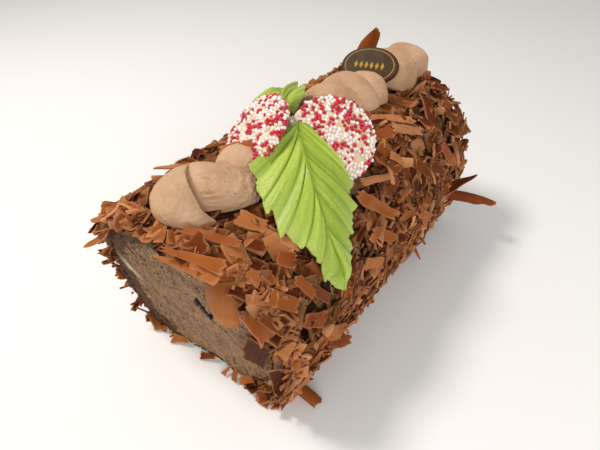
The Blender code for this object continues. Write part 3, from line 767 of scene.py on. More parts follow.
# %% A piped lobe as a profile along a path
def piped(path, right, left, tall, sharp, ends=(2.4, 2.4), rows=120, around=90, seed=1, shoulder=2.5,
          sink=0.6, shift=0.0, wisp=0.20, torn=0.0):
    """Rings of one lobe.  path: (x, y) knots; right, left: knots of its half widths; tall:
    knots of its height over the crust; sharp: knots, 0 both sides round, 1 left side hollow;
    ends: powers that round off the two ends; shift: lean of the crest to the left, in mm;
    wisp: depth of the fine streaks along the piping; torn: raggedness of the last end."""
    t = (1 - np.cos(np.linspace(0, np.pi, rows))) / 2
    line = curve(path, t)
    tan = np.gradient(line, axis=0)
    tan /= np.hypot(*tan.T)[:, None]
    away = np.c_[tan[:, 1], -tan[:, 0]]
    close = np.where(t < 0.5, np.clip(1 - np.abs(1 - 2 * t) ** ends[0], 0, 1) ** (1 / ends[0]),
                     np.clip(1 - np.abs(2 * t - 1) ** ends[1], 0, 1) ** (1 / ends[1]))
    wr, wl, h, k = (np.clip(curve(v, t), 0, None) for v in (right, left, tall, sharp))
    wr, wl, h = wr * close, wl * close, h * close ** 0.8
    phi = np.linspace(0, 2 * np.pi, around, endpoint=False)[None]
    c, v = np.cos(phi), np.sin(phi)
    power = np.where(c > 0, shoulder, shoulder + (0.66 - shoulder) * k[:, None])
    across = np.sign(c) * np.abs(c) ** (2 / power) * np.where(c > 0, wr[:, None], wl[:, None])
    belly = 0.30 * h[:, None] * (1 - 0.9 * k[:, None] * (c < 0))
    up = np.where(v >= 0, belly + (h[:, None] - belly) * np.abs(v) ** (2 / power),
                  belly - (belly + sink) * np.abs(v) ** (2 / 2.2))
    across = across * np.where(v < 0, 1 - 0.22 * np.abs(v) ** 2, 1)
    across = across - shift * np.clip(up / np.maximum(h[:, None], 0.1), 0, 1) ** 2
    xy = line[:, None] + across[..., None] * away[:, None]
    rings = np.concatenate([xy, (bed_z(xy[..., 1]) + up)[..., None]], -1)
    du, dv = np.gradient(rings, axis=0), np.roll(rings, -1, 1) - np.roll(rings, 1, 1)
    nrm = np.cross(dv, du)
    nrm /= np.maximum(np.linalg.norm(nrm, axis=-1), 1e-9)[..., None]
    grain = at(t[:, None] * 40, across, up)
    lump = 0.45 * noise(rings, 8.0, seed) + 0.15 * noise(rings, 3.0, seed + 5)
    lump = lump + wisp * noise(grain * (0.10, 1, 1), 0.75, seed + 1) + 0.05 * noise(rings, 0.8, seed + 2)
    frayed = noise(rings, 1.7, seed + 3) + 0.6 * noise(rings, 0.8, seed + 4)
    lump = lump + torn * smooth_step(t, 0.72, 1.0)[:, None] * frayed
    return rings + nrm * (lump * close[:, None] * (up > 0))[..., None]


def far_cut(rings):
    """The far end of the log was cut with the cream on it: nothing passes the end plane."""
    rings[..., 0] = np.minimum(rings[..., 0], FAR_X + 0.15 * noise(rings, 2, 9))
    return rings


cream, cream_rings = [], []


def lobe(name, node, *args, trim=None, **kwargs):
    """Makes one lobe, keeps its points for the leaves to lie on."""
    rings = piped(*args, **kwargs)
    rings = trim(rings) if trim else rings
    obj = tube(name, rings, sharp=50)
    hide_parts(node)
    cream.append(obj)
    cream_rings.append(rings)


lobe("lobe_crescent", "cream_front",
     [(-59.0, 8.0), (-65.3, 6.0), (-70.0, 2.2), (-73.2, -1.9), (-74.8, -5.8), (-75.0, -9.6),
      (-72.2, -13.2)],
     [8.0, 11.0, 12.9, 13.3, 11.6, 8.0, 1.4], [3, 4.5, 5, 5, 4.6, 3.6, 1.8],
     [12.5, 14.6, 15.2, 14.6, 12.8, 9.6, 4.8], [0.1, 0.8, 1, 1, 1, 1, 0.9], ends=(2.6, 1.4), seed=101,
     rows=170, around=120, shoulder=2.15, shift=0.9, sink=2.5)
lobe("lobe_tongue", "cream_scoop",
     [(-74.5, 7.0), (-67.6, 1.0), (-61.4, -4.6), (-55.5, -9.6), (-50.0, -14.4)],
     [7.0, 8.8, 9.6, 8.0, 4.8], [7, 7.5, 6.5, 5.0, 3.4], [12.6, 13.7, 12.3, 10.0, 7.2],
     [0, 0, 0, 0, 0], ends=(3, 2.6), seed=111, rows=150, around=110, shoulder=2.2, shift=3.4, wisp=0.42,
     torn=0.9, sink=3.5)
lobe("lobe_dome", "cream_left",
     [(-47.5, 10.5), (-47.0, 5.0), (-45.8, -1.0), (-45.2, -6.5), (-45.5, -12.5)],
     [5, 9.0, 10.2, 9.0, 5.0], [4.5, 7.5, 9.5, 9.5, 6.5], [9.5, 12.2, 12.6, 11.6, 9.0],
     [0, 0, 0.1, 0.2, 0.2], ends=(2.4, 2.2), seed=121, rows=120, around=100, shoulder=2.15)
lobe("lobe_strip", "cream_middle",
     [(-47.0, -9.5), (-38.5, -7.5), (-30.0, -6.0), (-21.0, -3.0), (-12.0, 1.0), (-4.0, 4.5)],
     [5.5, 6.5, 7.5, 8.0, 8.0, 7.0], [5.5, 7.0, 7.5, 8.0, 8.0, 7.0], [8.5, 10.5, 11.4, 11.6, 11.2, 9.5],
     [0, 0, 0, 0, 0, 0], seed=131, rows=130, around=80, shoulder=2.3, wisp=0.2)
lobe("lobe_shell", "cream_back",
     [(6.0, 13.0), (12.5, 10.0), (16.8, 5.0), (19.0, 0.0), (20.2, -5.8), (20.4, -11.5), (18.5, -17.0)],
     [8, 11.5, 13.5, 14.0, 13.6, 12.0, 7.0], [3.5, 4.5, 5, 5, 4.5, 4, 3],
     [9, 12.0, 13.0, 13.2, 13.0, 12.0, 8.5], [0.2, 0.6, 0.9, 1, 1, 0.9, 0.6], ends=(2.4, 2.4), seed=141,
     rows=140, around=110, shoulder=2.3, shift=0.8, wisp=0.32, torn=0.5)
lobe("lobe_fold", "cream_fold",
     [(20.0, 11.5), (24.5, 7.0), (28.0, 1.0), (28.5, -5.5), (29.0, -11.5), (30.5, -18.0)],
     [6, 8.0, 9.0, 9.4, 9.0, 7.0], [6, 8.5, 10.0, 10.5, 10.0, 8.0], [11.0, 13.4, 14.8, 13.8, 12.4, 10.0],
     [0, 0, 0, 0, 0, 0], ends=(2.4, 2.6), seed=151, rows=120, around=90, shoulder=1.9, shift=1.2)
lobe("lobe_right", "cream_right",
     [(40.0, 8.0), (39.5, 0.0), (38.5, -9.0), (37.0, -17.5)],
     [8, 9, 9.5, 7.0], [7, 8, 8.5, 7], [10, 11.5, 12.0, 10.0],
     [0, 0, 0, 0], seed=161, rows=90, around=72, shoulder=2.4)
lobe("lobe_far", "cream_far",
     [(60.5, 10.5), (62.0, 2.0), (61.0, -8.0), (58.5, -19.0)],
     [10, 12.5, 12.0, 8.5], [9, 11.5, 12.5, 10.0], [11, 14.2, 15.2, 13.5],
     [0, 0, 0, 0], ends=(3.0, 4.2), seed=171, rows=120, around=90, shoulder=3.4)
lobe("lobe_end", "cream_far",
     [(77.0, 8.5), (77.5, 0.0), (77.0, -9.0), (75.5, -18.0)],
     [7, 8.0, 8.0, 7.0], [7, 9, 9, 8.0], [10, 13.4, 14.0, 13.0],
     [0, 0, 0, 0], ends=(2.8, 5.0), seed=181, rows=110, around=80, shoulder=5.0, trim=far_cut)

# %% [markdown]
# ## Two sprinkle discs
# Flat drops of white chocolate, pressed while soft into red and white sugar beads.  The beads
# are real little balls of 48 faces; they are set on a sunflower spiral, which packs a round
# dome evenly, and pushed about by the dice so that no pattern shows.

# %% The discs and their beads
BEAD = 1.62                                        # mm across


def dome_height(r):
    """Height of the bead tops over the rim plane, r from 0 at the middle to 1 at the rim."""
    return np.interp(r, [0, 0.35, 0.62, 0.84, 0.96, 1.0], [2.8, 2.62, 2.15, 1.35, 0.55, -0.5])


def disc_base(name, node, centre, face, radius):
    """Turned profile: dome a bead's half below the tops, round rim, flat back."""
    c, a, b, n = facing(centre, face)
    r = np.r_[np.linspace(0, 1, 26), 1.0, 0.99, 0.96, 0.9, np.linspace(0.8, 0, 6)]
    up = np.r_[dome_height(np.linspace(0, 1, 26)) - 0.95, -1.2, -1.8, -2.3, -2.55, np.full(6, -2.6)]
    th = np.linspace(0, 2 * np.pi, 96, endpoint=False)
    rr = (r * (radius - 0.7))[:, None]
    rings = c + rr[..., None] * (np.cos(th)[None, :, None] * a + np.sin(th)[None, :, None] * b) \
        + up[:, None, None] * n
    rings = rings + (0.18 * noise(rings, 3.0, 200))[..., None] * n
    obj = tube(name, rings, sharp=60)
    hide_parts(node)
    return obj


def bead_ball():
    """A ball of 8 by 6 cells, unit radius: rings at even latitudes, closed at the poles."""
    lat = np.linspace(-np.pi / 2, np.pi / 2, 7)[:, None]
    lon = np.linspace(0, 2 * np.pi, 8, endpoint=False)[None]
    rings = np.stack([np.cos(lat) * np.cos(lon), np.cos(lat) * np.sin(lon), np.sin(lat) + 0 * lon], -1)
    verts, quads, tris = tube_parts(rings)
    return verts, *outward(verts, quads, tris)


def bead_places(centre, face, radius, seed):
    """Sunflower spiral over the dome: place k lies at angle k * 137.5 deg, radius sqrt(k)."""
    dice = np.random.default_rng(seed)
    c, a, b, n = facing(centre, face)
    count = int(1.12 * (radius / BEAD * 2) ** 2 * 0.84)
    k = np.arange(count) + 0.5
    r = np.sqrt(k / count)
    th = k * math.pi * (3 - math.sqrt(5))
    x, y = radius * r * np.cos(th), radius * r * np.sin(th)
    x, y = x + dice.normal(0, 0.24, count), y + dice.normal(0, 0.24, count)
    r = np.minimum(np.hypot(x, y) / radius, 1.0)
    up = dome_height(r) - BEAD / 2 + dice.uniform(-0.30, 0.22, count)
    rim = np.linspace(0, 2 * np.pi, int(2 * np.pi * radius / BEAD / 1.06), endpoint=False)
    for drop, off in ((-1.3, 0.3), (-2.3, 0.9)):
        th2 = rim + off / radius + dice.normal(0, 0.012, len(rim))
        rr = radius - 0.55 + dice.uniform(-0.25, 0.15, len(rim))
        x, y = np.r_[x, rr * np.cos(th2)], np.r_[y, rr * np.sin(th2)]
        up = np.r_[up, drop + dice.uniform(-0.3, 0.3, len(rim))]
    bare = noise(at(x, y), 3.6, seed + 5) > 0.66
    keep = ~(bare & (np.hypot(x, y) < radius * 0.9) & (dice.uniform(0, 1, len(x)) < 0.8))
    x, y, up = x[keep], y[keep], up[keep]
    pts = c + x[:, None] * a + y[:, None] * b + up[:, None] * n
    red = noise(at(x, y), 3.0, seed + 6) * 0.60 + dice.uniform(-1, 1, len(x)) * 0.45 > 0.09
    return pts, red


ball, ball_quads, ball_tris = bead_ball()
bead_pts, bead_red, bases = [], [], []
for side, (centre, face, radius) in DISCS.items():
    bases.append(disc_base("disc_base_" + side, "sprinkle_disc_" + side, centre, face, radius))
    places, red = bead_places(centre, face, radius, 300 + len(side))
    bead_pts.append(places)
    bead_red.append(red)
bead_pts, bead_red = np.vstack(bead_pts), np.concatenate(bead_red)
beads = []
for colour, chosen in (("red", bead_red), ("white", ~bead_red)):
    dice = np.random.default_rng(330 + len(colour))
    spots = bead_pts[chosen]
    size = dice.uniform(0.86, 1.06, (len(spots), 1, 1)) * BEAD / 2
    squash = dice.uniform(0.93, 1.05, (len(spots), 1, 3))
    shapes = ball[None] * size * squash + spots[:, None]
    obj = many("beads_" + colour, shapes, ball_quads,
               {"tone": np.repeat(dice.uniform(0, 1, len(spots)), len(ball))}, tris=ball_tris)
    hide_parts("sprinkle_disc_left", "sprinkle_disc_right")
    beads.append(obj)
print("beads:", len(bead_pts))

# %% [markdown]
# ## The moulded leaves
# Each leaf is marzipan rolled out and pressed in a ribbed mould: ribs fan out from the stem,
# run a while beside the midrib and end in a torn tooth, with a sharp valley between two ribs.
# Both edges are lines of tips and notches on the crust's own map (x, s) with a height; the
# rows of the sheet leave the midrib along its way and bend out to the edge, as the ribs do.
# The sheet is then lifted where the cream or a disc lies under it.

# %% Where the leaves lie
# The front leaf's points are measured values and not a design: a formula has still to take
# their place.
LEAF = {
    "front": {
        "left": [(-25.0, 7.4, 15.5), (-32.9, 8.6, 15), (-40.9, 9.7, 13.5), (-50.4, 8.0, 11.5),
                 (-50.6, 12.8, 9.5), (-54.3, 14.7, 9), (-56.3, 18.5, 8.5), (-60.0, 22.9, 8),
                 (-57.4, 22.9, 8), (-62.1, 30.7, 7.5), (-59.8, 30.7, 7.5), (-58.8, 37.0, 7.5),
                 (-56.6, 37.4, 7.5), (-56.1, 43.9, 7), (-54.5, 44.1, 7), (-55.6, 51.1, 7),
                 (-54.1, 51.5, 7), (-52.2, 57.2, 7)],
        "mid": [(-21.2, 9.2, 15.3), (-24.8, 11.0, 15.5), (-31.3, 16.2, 15.5), (-35.9, 20.4, 14.5),
                (-39.2, 24.6, 12.5), (-41.9, 28.6, 10.5), (-45.6, 35.1, 9), (-47.6, 42.5, 8),
                (-47.6, 51.9, 7.5), (-48.9, 60.1, 7)],
        "right": [(-18.4, 13.0, 16), (-21.6, 17.6, 16), (-23.2, 21.4, 16), (-23.1, 27.3, 14),
                  (-23.7, 28.8, 13), (-23.0, 30.9, 12), (-24.9, 31.5, 11.5), (-23.2, 33.4, 11.5),
                  (-28.2, 34.5, 10), (-27.0, 38.9, 9.5), (-33.7, 41.2, 9), (-34.6, 45.0, 8.5),
                  (-38.3, 46.0, 8), (-37.2, 50.2, 8), (-41.9, 51.7, 7.5), (-42.8, 56.5, 7.5),
                  (-45.8, 62.0, 7)]
    },
    "back": {
        "left": [(-13.5, -0.5, 14), (-17.0, -5.0, 14.5), (-19.5, -10.5, 14), (-22.5, -16.0, 10),
                 (-19.5, -17.5, 9), (-21.5, -24.0, 8), (-17.5, -25.0, 7.5), (-18.0, -32.0, 7),
                 (-13.0, -33.0, 7), (-11.0, -40.0, 7), (-6.5, -41.0, 6.5), (-3.0, -48.0, 6.5),
                 (1.0, -49.0, 6.5), (8.0, -57.0, 6.5)],
        "mid": [(-11.8, -1.5, 15), (-9.5, -6.0, 17), (-7.0, -10.5, 18.5), (-4.0, -15.0, 18),
                (-1.0, -20.0, 14), (2.0, -26.0, 10), (5.0, -33.0, 8), (8.5, -41.0, 7), (11.5, -50.0, 6.5),
                (13.5, -59.0, 6.5)],
        "right": [(-10.0, -1.0, 14.5), (-4.0, -2.5, 16), (3.0, -4.5, 16.5), (8.5, -8.5, 16),
                  (8.5, -12.0, 15), (14.5, -15.5, 15), (13.5, -19.0, 12), (19.5, -23.5, 9),
                  (17.5, -27.5, 8), (22.5, -33.0, 7), (19.5, -37.0, 7), (23.5, -43.0, 6.5),
                  (20.0, -47.0, 6.5), (18.5, -58.0, 6.5)]
    }}


def height_map(clouds, cell=1.0):
    """Highest point over each square millimetre of the table, widened by one square."""
    grid = np.zeros((220, 140))
    for pts in clouds:
        pts = np.asarray(pts).reshape(-1, 3)
        i = np.clip(((pts[:, 0] + 110) / cell).astype(int), 0, 219)
        j = np.clip(((pts[:, 1] + 70) / cell).astype(int), 0, 139)
        np.maximum.at(grid, (i, j), pts[:, 2])
    g = np.pad(grid, 1, mode="edge")
    return np.maximum.reduce([g[a:a + 220, b:b + 140] for a in (0, 1, 2) for b in (0, 1, 2)])


def over(grid, p):
    """Height of the map under points p."""
    i = np.clip((p[..., 0] + 110).astype(int), 0, 219)
    return grid[i, np.clip((p[..., 1] + 70).astype(int), 0, 139)]


def soften(grid, times):
    """Averages each point of a grid with its neighbours, again and again."""
    for _ in range(times):
        g = np.pad(grid, 1, mode="edge")
        grid = (g[:-2, 1:-1] + g[2:, 1:-1] + g[1:-1, :-2] + g[1:-1, 2:] + 2 * grid) / 6
    return grid


TOWARD = np.array([-0.57, -0.47, 0.67])          # a leaf that meets a disc slides over it this way
support = height_map(cream_rings)
print("highest support: %.1f mm" % support.max())

# %% [markdown]
# One row of the sheet is a quadratic curve: it starts on the midrib, is drawn along it for half
# its way, and ends on the edge, a tip where the rib's phase is a half and a notch where it is
# whole.  The cross-section over the phase is a rounded arch, so valleys are sharp, ribs broad.

# %% The leaf as a sheet of ribs
def leaf_sheet(which, nw=241, nt=34):
    """Top and bottom skins (nw, 2*nt+1, 3) of a leaf, and its rib height, which sets the painted shade of
    its colour.
    """
    w = np.linspace(0, 1, nw)
    t = np.linspace(0, 1, nt + 1)
    mid = np.array(LEAF[which]["mid"])
    start = np.interp(w, [0, 0.22, 0.38, 0.5, 0.62, 0.75, 0.88, 1],
                      [0, 0.04, 0.13, 0.24, 0.37, 0.54, 0.73, 1])
    halves, ribs = [], []
    for side, key in ((-1, "left"), (1, "right")):
        edge = np.array(LEAF[which][key])
        steps = np.arange(len(edge))
        knot = w * (len(edge) - 1)
        wave = 0.30 * noise(at(knot * 1.3, side), 1.0, 405)
        tip = np.stack([np.interp(knot, steps, edge[:, k]) for k in range(3)], -1)
        tip = tip + np.stack([noise(at(knot * 4, side * 3, k), 1.0, 400) * (0.5, 0.5, 0.2)[k]
                              for k in range(3)], -1)
        phase = np.where(knot < 3, knot / 6, 0.5 * (knot - 2)) + wave * smooth_step(knot, 3, 5)
        root = curve(mid, start)
        draw = curve(mid, start + (0.62 if side < 0 else 0.45) * (w - start) * (w > start))
        bend = 0.55 * draw + 0.225 * (root + tip)
        f = t[None, :, None]
        half = (1 - f) ** 2 * root[:, None] + 2 * f * (1 - f) * bend[:, None] + f ** 2 * tip[:, None]
        rib = np.abs(np.sin(np.pi * phase))[:, None] ** 0.70 + 0 * t
        split = 0.07 * np.sin(6 * np.pi * phase)[:, None] * smooth_step(t, 0.3, 0.7)
        body = smooth_step(t, 0.0, 0.22) * (1 - 0.35 * t ** 4)
        own = 0.75 + 0.35 * noise(at(np.floor(phase) * 3, side), 1.0, 407)[:, None]
        rib = (rib + split) * body * own
        halves.append(half if side > 0 else half[:, :0:-1])
        ribs.append(rib if side > 0 else rib[:, :0:-1])
    grid, rib = np.concatenate(halves, 1), np.concatenate(ribs, 1)
    far = np.abs(np.linspace(-1, 1, 2 * nt + 1))[None]
    x, s, low = grid[..., 0], grid[..., 1], grid[..., 2] - 1.6
    y, z, ny, nz = on_arch(s)
    foot, nrm = at(x, y, z), at(0, ny, nz)
    slide = 0 * low
    for _ in range(4):
        p = foot + low[..., None] * nrm + slide[..., None] * TOWARD
        low = low + np.clip((over(support, p) + 0.4 - p[..., 2]) / np.maximum(nz, 0.5), 0, 6) * (z > 50)
        if which == "front":
            centre, _, _, face = facing(*DISCS["right"][:2])
            up = (p - centre) @ face
            rad = np.linalg.norm(p - centre - up[..., None] * face, axis=-1) / DISCS["right"][2]
            lift = dome_height(np.clip(rad, 0, 1)) + 1.2 - up
            slide = slide + np.where((rad < 1.02) & (up > -6), np.clip(lift, 0, 6), 0)
    low, slide = soften(low, 12), soften(slide, 24)
    foot = foot + slide[..., None] * TOWARD
    w = w[:, None]
    fade = smooth_step(w, 0.0, 0.10) * smooth_step(1 - w, 0.0, 0.06) * 0.85 + 0.15
    relief = 1.75 * rib * fade + 1.1 * np.exp(-(far * 8.0) ** 2) * smooth_step(1 - w, 0, 0.3)
    relief = relief + 0.45 * np.sin(w * 210) * np.exp(-(w / 0.07) ** 2)
    lane = np.sign(np.linspace(-1, 1, 2 * nt + 1))[None] * 7 + 0 * w
    curl = 0.9 * far ** 5 * noise(at(w * 22, lane), 1.0, 402)
    fine = 0.16 * noise(foot, 3.0, 403) + 0.05 * noise(foot, 0.8, 404)
    thick = 0.6 + 1.3 * (1 - far ** 3)
    top = foot + (low + relief + curl + fine + thick)[..., None] * nrm
    bottom = foot + (low + relief * 0.85 + curl)[..., None] * nrm
    return top, bottom, np.clip(rib, 0, 1.2)


def slab(name, top, bottom, marks, sharp=60):
    """Closed sheet: top and bottom skins joined round the rim."""
    verts = np.r_[top.reshape(-1, 3), bottom.reshape(-1, 3)]
    quads, _ = outward(verts, flake_faces(*top.shape[:2])[0], np.zeros((0, 3), int))
    return put(name, verts, quads, None, {k: np.tile(v.ravel(), 2) for k, v in marks.items()}, sharp)


leaves = []
for which in ("front", "back"):
    top, bottom, rib = leaf_sheet(which)
    edge = np.abs(np.linspace(-1, 1, top.shape[1]))[None] + 0 * rib
    leaf = slab("leaf_" + which + "_ribbed", top, bottom, {"rib": rib, "edge": edge})
    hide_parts("leaf_" + which)
    leaves.append(leaf)

# %% [markdown]
# ## The plaque
# A thin oval of dark chocolate, cast flat, standing against the cream.  Its face carries a
# plain printed ornament in gold: a fine oval line and a band of small lozenges.

# %% A turned oval
PLAQUE = (15.0, 9.6)                               # half its two axes


def make_plaque():
    """Profile of rim and faces turned round an oval; marks carry the place on the face in mm."""
    centre, a, b, n = facing((49.7, -0.6, 99.0), (-0.72, -0.07, 0.69))
    c, w = math.cos(math.radians(4.5)), math.sin(math.radians(4.5))
    a, b = a * c + b * w, b * c - a * w
    half = 1.3
    bev = np.linspace(0, np.pi / 2, 6)
    share = np.r_[np.linspace(0, 0.93, 26), 0.95 + 0.05 * np.sin(bev), 0.95 + 0.05 * np.cos(bev),
                  np.linspace(0.93, 0, 10)]
    up = np.r_[np.full(26, half), half - 0.55 + 0.55 * np.cos(bev), -half + 0.55 - 0.55 * np.sin(bev),
               np.full(10, -half)]
    th = np.linspace(0, 2 * np.pi, 128, endpoint=False)[None]
    u, v = PLAQUE[0] * share[:, None] * np.cos(th), PLAQUE[1] * share[:, None] * np.sin(th)
    warp = 0.10 * noise(at(u, v), 9, 500) - 0.0012 * u ** 2
    rings = centre + u[..., None] * a + v[..., None] * b + (up[:, None] + warp)[..., None] * n
    top = (up > half - 0.2)[:, None] + 0 * u
    obj = tube("plaque_oval", rings, {"across": u, "upward": v, "face": top}, sharp=50)
    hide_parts("plaque")
    return obj


plaque = make_plaque()

# %% [markdown]
# ## The flakes laid one by one
# A few large shavings give the cake its outline: the broad glossy shard hanging over the cut,
# the spiky ones above it, the curls at the foot and the side, the tall one at the back.  Under
# them lie some forty larger shards.  They use the same bent sheet as the heap,
# with more points, aimed from one end to the other.

# %% Aimed flakes
def aimed(seed, start, end, face, width, thick=0.9, bend_long=0.0, bend_wide=0.0, taper=0.0, ragged=0.10,
          blunt=0.0, na=15, nb=9):
    """A bent sheet whose length runs from start to end and whose top looks along `face`.
    taper narrows the end (+) or the start (-); blunt rounds the end off like a tongue."""
    start, end = np.array(start, float), np.array(end, float)
    length, f = np.linalg.norm(end - start), unit(end - start)
    g = unit(np.cross(face, f))
    n = np.cross(f, g)
    a, b = np.meshgrid(np.linspace(-1, 1, na), np.linspace(-1, 1, nb), indexing="ij")
    edge = noise(at(a * 3.0, np.sign(b) * 4.0), 1.0, seed) * ragged * b ** 2
    tip = noise(at(np.sign(a) * 5.0, b * 2.5), 1.0, seed + 7) * ragged * 2 * np.abs(a) ** 3
    x = (a + tip * (1 - blunt * (a > 0))) * length / 2
    round_off = np.sqrt(1 - np.clip((a - 0.35) / 0.68, 0, 1) ** 2) * blunt + 1 - blunt
    y = b * width / 2 * (1 + edge * 2) * (1 - taper * a * 0.9) * round_off
    k1, k2 = bend_long + 1e-4, bend_wide + 1e-4
    skins = []
    for w in (thick / 2, -thick / 2):
        w = w * (1 - 0.35 * np.maximum(np.abs(a), np.abs(b)) ** 4)
        yy, zz = (1 / k2 - w) * np.sin(k2 * y), 1 / k2 - (1 / k2 - w) * np.cos(k2 * y)
        zz = zz + 0.10 * noise(at(x, y), 2.4, seed + 3)
        xx, zz = (1 / k1 - zz) * np.sin(k1 * x), 1 / k1 - (1 / k1 - zz) * np.cos(k1 * x)
        skins.append((start + end) / 2 + xx[..., None] * f + yy[..., None] * g + zz[..., None] * n)
    return skins[0], skins[1], y


def big_flake(name, node, tone, *args, up=(6, 6), **kwargs):
    """One aimed flake as a piece of its own; `up`, the mark that sets its painted shade, goes from its
    start to its end.
    """
    top, bottom, across = aimed(*args, **kwargs)
    rim = np.ones(top.shape[:2])
    rim[1:-1, 1:-1] = 0
    rise = np.linspace(*up, len(rim))[:, None] + 0 * rim
    marks = {"tone": tone + 0 * rim, "rim": rim, "across": across, "up": rise}
    obj = slab(name, top, bottom, marks, sharp=42)
    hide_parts(node)
    return obj


flake_pieces += [
    # the broad shard's up mark runs from 4.2 at its top to 7.0 at its end: painted shade, dark at the top
    # under the overhanging flakes, lighter below
    big_flake("shard_broad", "shard_front", np.linspace(0.69, 0.725, 33)[:, None], 21, (-90.4, -29.7, 84.6),
              (-89.8, -27.6, 57.6), (-1, -0.35, 0.25), 12.6, 1.3, -0.020, -0.14, -0.05, 0.03, blunt=0.9,
              na=33, nb=21, up=(4.2, 7.0)),
    big_flake("curl_foot_rolled", "curl_foot", 0.55, 22, (-69.4, -40.0, 5.4), (-70.6, -55.5, 6.0),
              (0.1, 0, 1), 12.0, 0.8, -0.01, -0.42, 0.15, 0.06),
    big_flake("curl_side_rolled", "curl_side", 0.50, 23, (67.6, -47.5, 31.2), (74.2, -73.5, 30.0),
              (0.2, 0, 1), 12.0, 0.9, -0.012, -0.36, 0.55, 0.10),
    big_flake("shard_tall", "shard_far", 0.5, 24, (75.4, 19.5, 87.0), (78.6, 12.2, 107.0),
              (-0.8, -0.6, 0), 12.0, 0.9, 0.02, -0.22, 0.80, 0.06),
]

# %% [markdown]
# Each line of the next table is one shard on the crust: x and s of its two ends, its width, its
# tone and how high the ends stand.  The second table holds those that stand off the log, with
# both ends as points and the way they face.

# %% Larger shards and standing flakes
# Most rows of the first table, and the eight foot flakes before the last row of the second, are
# measured values and not a design: a seeded rule has still to take their place.
ON_CRUST = [
    (-66.9, 17.0, -62.8, 25.6, 6.6, .71, 5.6, 5.6), (-64.9, 26.3, -58.4, 36.4, 4.2, .75, 5.6, 6.5),
    (-67.7, 34.5, -63.1, 38.5, 6.0, .50, 5.6, 6.0), (-88.6, 12.5, -80.4, 29.4, 7.5, .30, 5.2, 6.2),
    (-83.9, 9.5, -75.4, 25.0, 3.4, .60, 7.4, 7.0), (-90.4, 19.9, -84.4, 31.8, 4.0, .62, 6.0, 5.0),
    (-87.6, 31.4, -81.1, 40.1, 5.2, .20, 4.5, 5.4), (-79.8, 31.8, -78.6, 36.5, 4.2, .70, 6.4, 5.8),
    (-78.8, 41.0, -71.4, 50.0, 6.0, .55, 5.6, 5.6), (-66.4, 43.0, -62.6, 52.0, 4.0, .60, 5.8, 5.8),
    (-69.4, 39.9, -68.1, 51.0, 6.2, .12, 3.8, 3.8), (-62.4, 49.3, -55.0, 60.5, 4.6, .40, 5.6, 4.6),
    (-20.6, 37.4, -5.3, 54.5, 6.0, .65, 5.6, 6.6), (5.8, 30.2, 10.6, 42.4, 10.5, .42, 5.8, 5.8),
    (7.0, 25.6, 22.3, 28.4, 6.0, .50, 5.6, 5.6), (20.0, 18.1, 37.6, 30.9, 4.2, .75, 5.8, 6.8),
    (22.2, 27.7, 37.3, 36.6, 4.8, .80, 6.6, 5.8), (13.8, 40.1, 15.8, 56.3, 6.0, .28, 4.8, 5.6),
    (22.9, 43.1, 33.0, 57.0, 7.0, .28, 4.6, 4.8), (60.7, 26.1, 48.5, 40.2, 7.0, .25, 5.6, 5.6),
    (68.9, 33.8, 69.3, 45.7, 5.2, .30, 4.8, 5.6), (-14.3, 35.3, 0.8, 40.6, 3.4, .80, 5.6, 6.8),
    (-21.3, 51.9, -6.6, 66.0, 5.2, .55, 5.6, 5.6), (-88.2, 40.1, -86.6, 51.9, 5.8, .60, 4.0, 4.0),
    (-85.6, 43.0, -80.8, 53.8, 3.4, .40, 6.0, 5.2), (-57.0, 78.0, -48.0, 84.0, 5.2, .65, 4.6, 6.4),
    (-76.7, 69.1, -66.1, 83.2, 4.4, .35, 3.8, 5.6), (2.7, 60.3, 18.0, 65.6, 4.2, .60, 5.6, 5.6),
    (-86.0, -32.0, -73.0, -27.6, 4.6, .60, 4.6, 5.0), (-76.0, -30.0, -63.3, -24.5, 4.2, .45, 4.6, 5.4),
    (-70.0, 58.0, -60.0, 66.0, 6.4, .50, 5.0, 5.0), (-44.0, 66.0, -36.0, 78.0, 5.6, .45, 5.0, 5.2),
    (-30.0, 62.0, -18.0, 70.0, 5.0, .70, 5.2, 5.8), (36.0, 52.0, 47.0, 60.0, 6.4, .35, 5.0, 5.4),
    (50.0, 48.0, 60.0, 62.0, 5.4, .60, 5.2, 5.6), (-8.0, 72.0, 4.0, 80.0, 6.0, .30, 4.8, 5.4),
    (24.0, 72.0, 36.0, 82.0, 5.0, .65, 5.0, 5.8), (48.0, 74.0, 62.0, 80.0, 5.6, .40, 5.0, 5.6)]
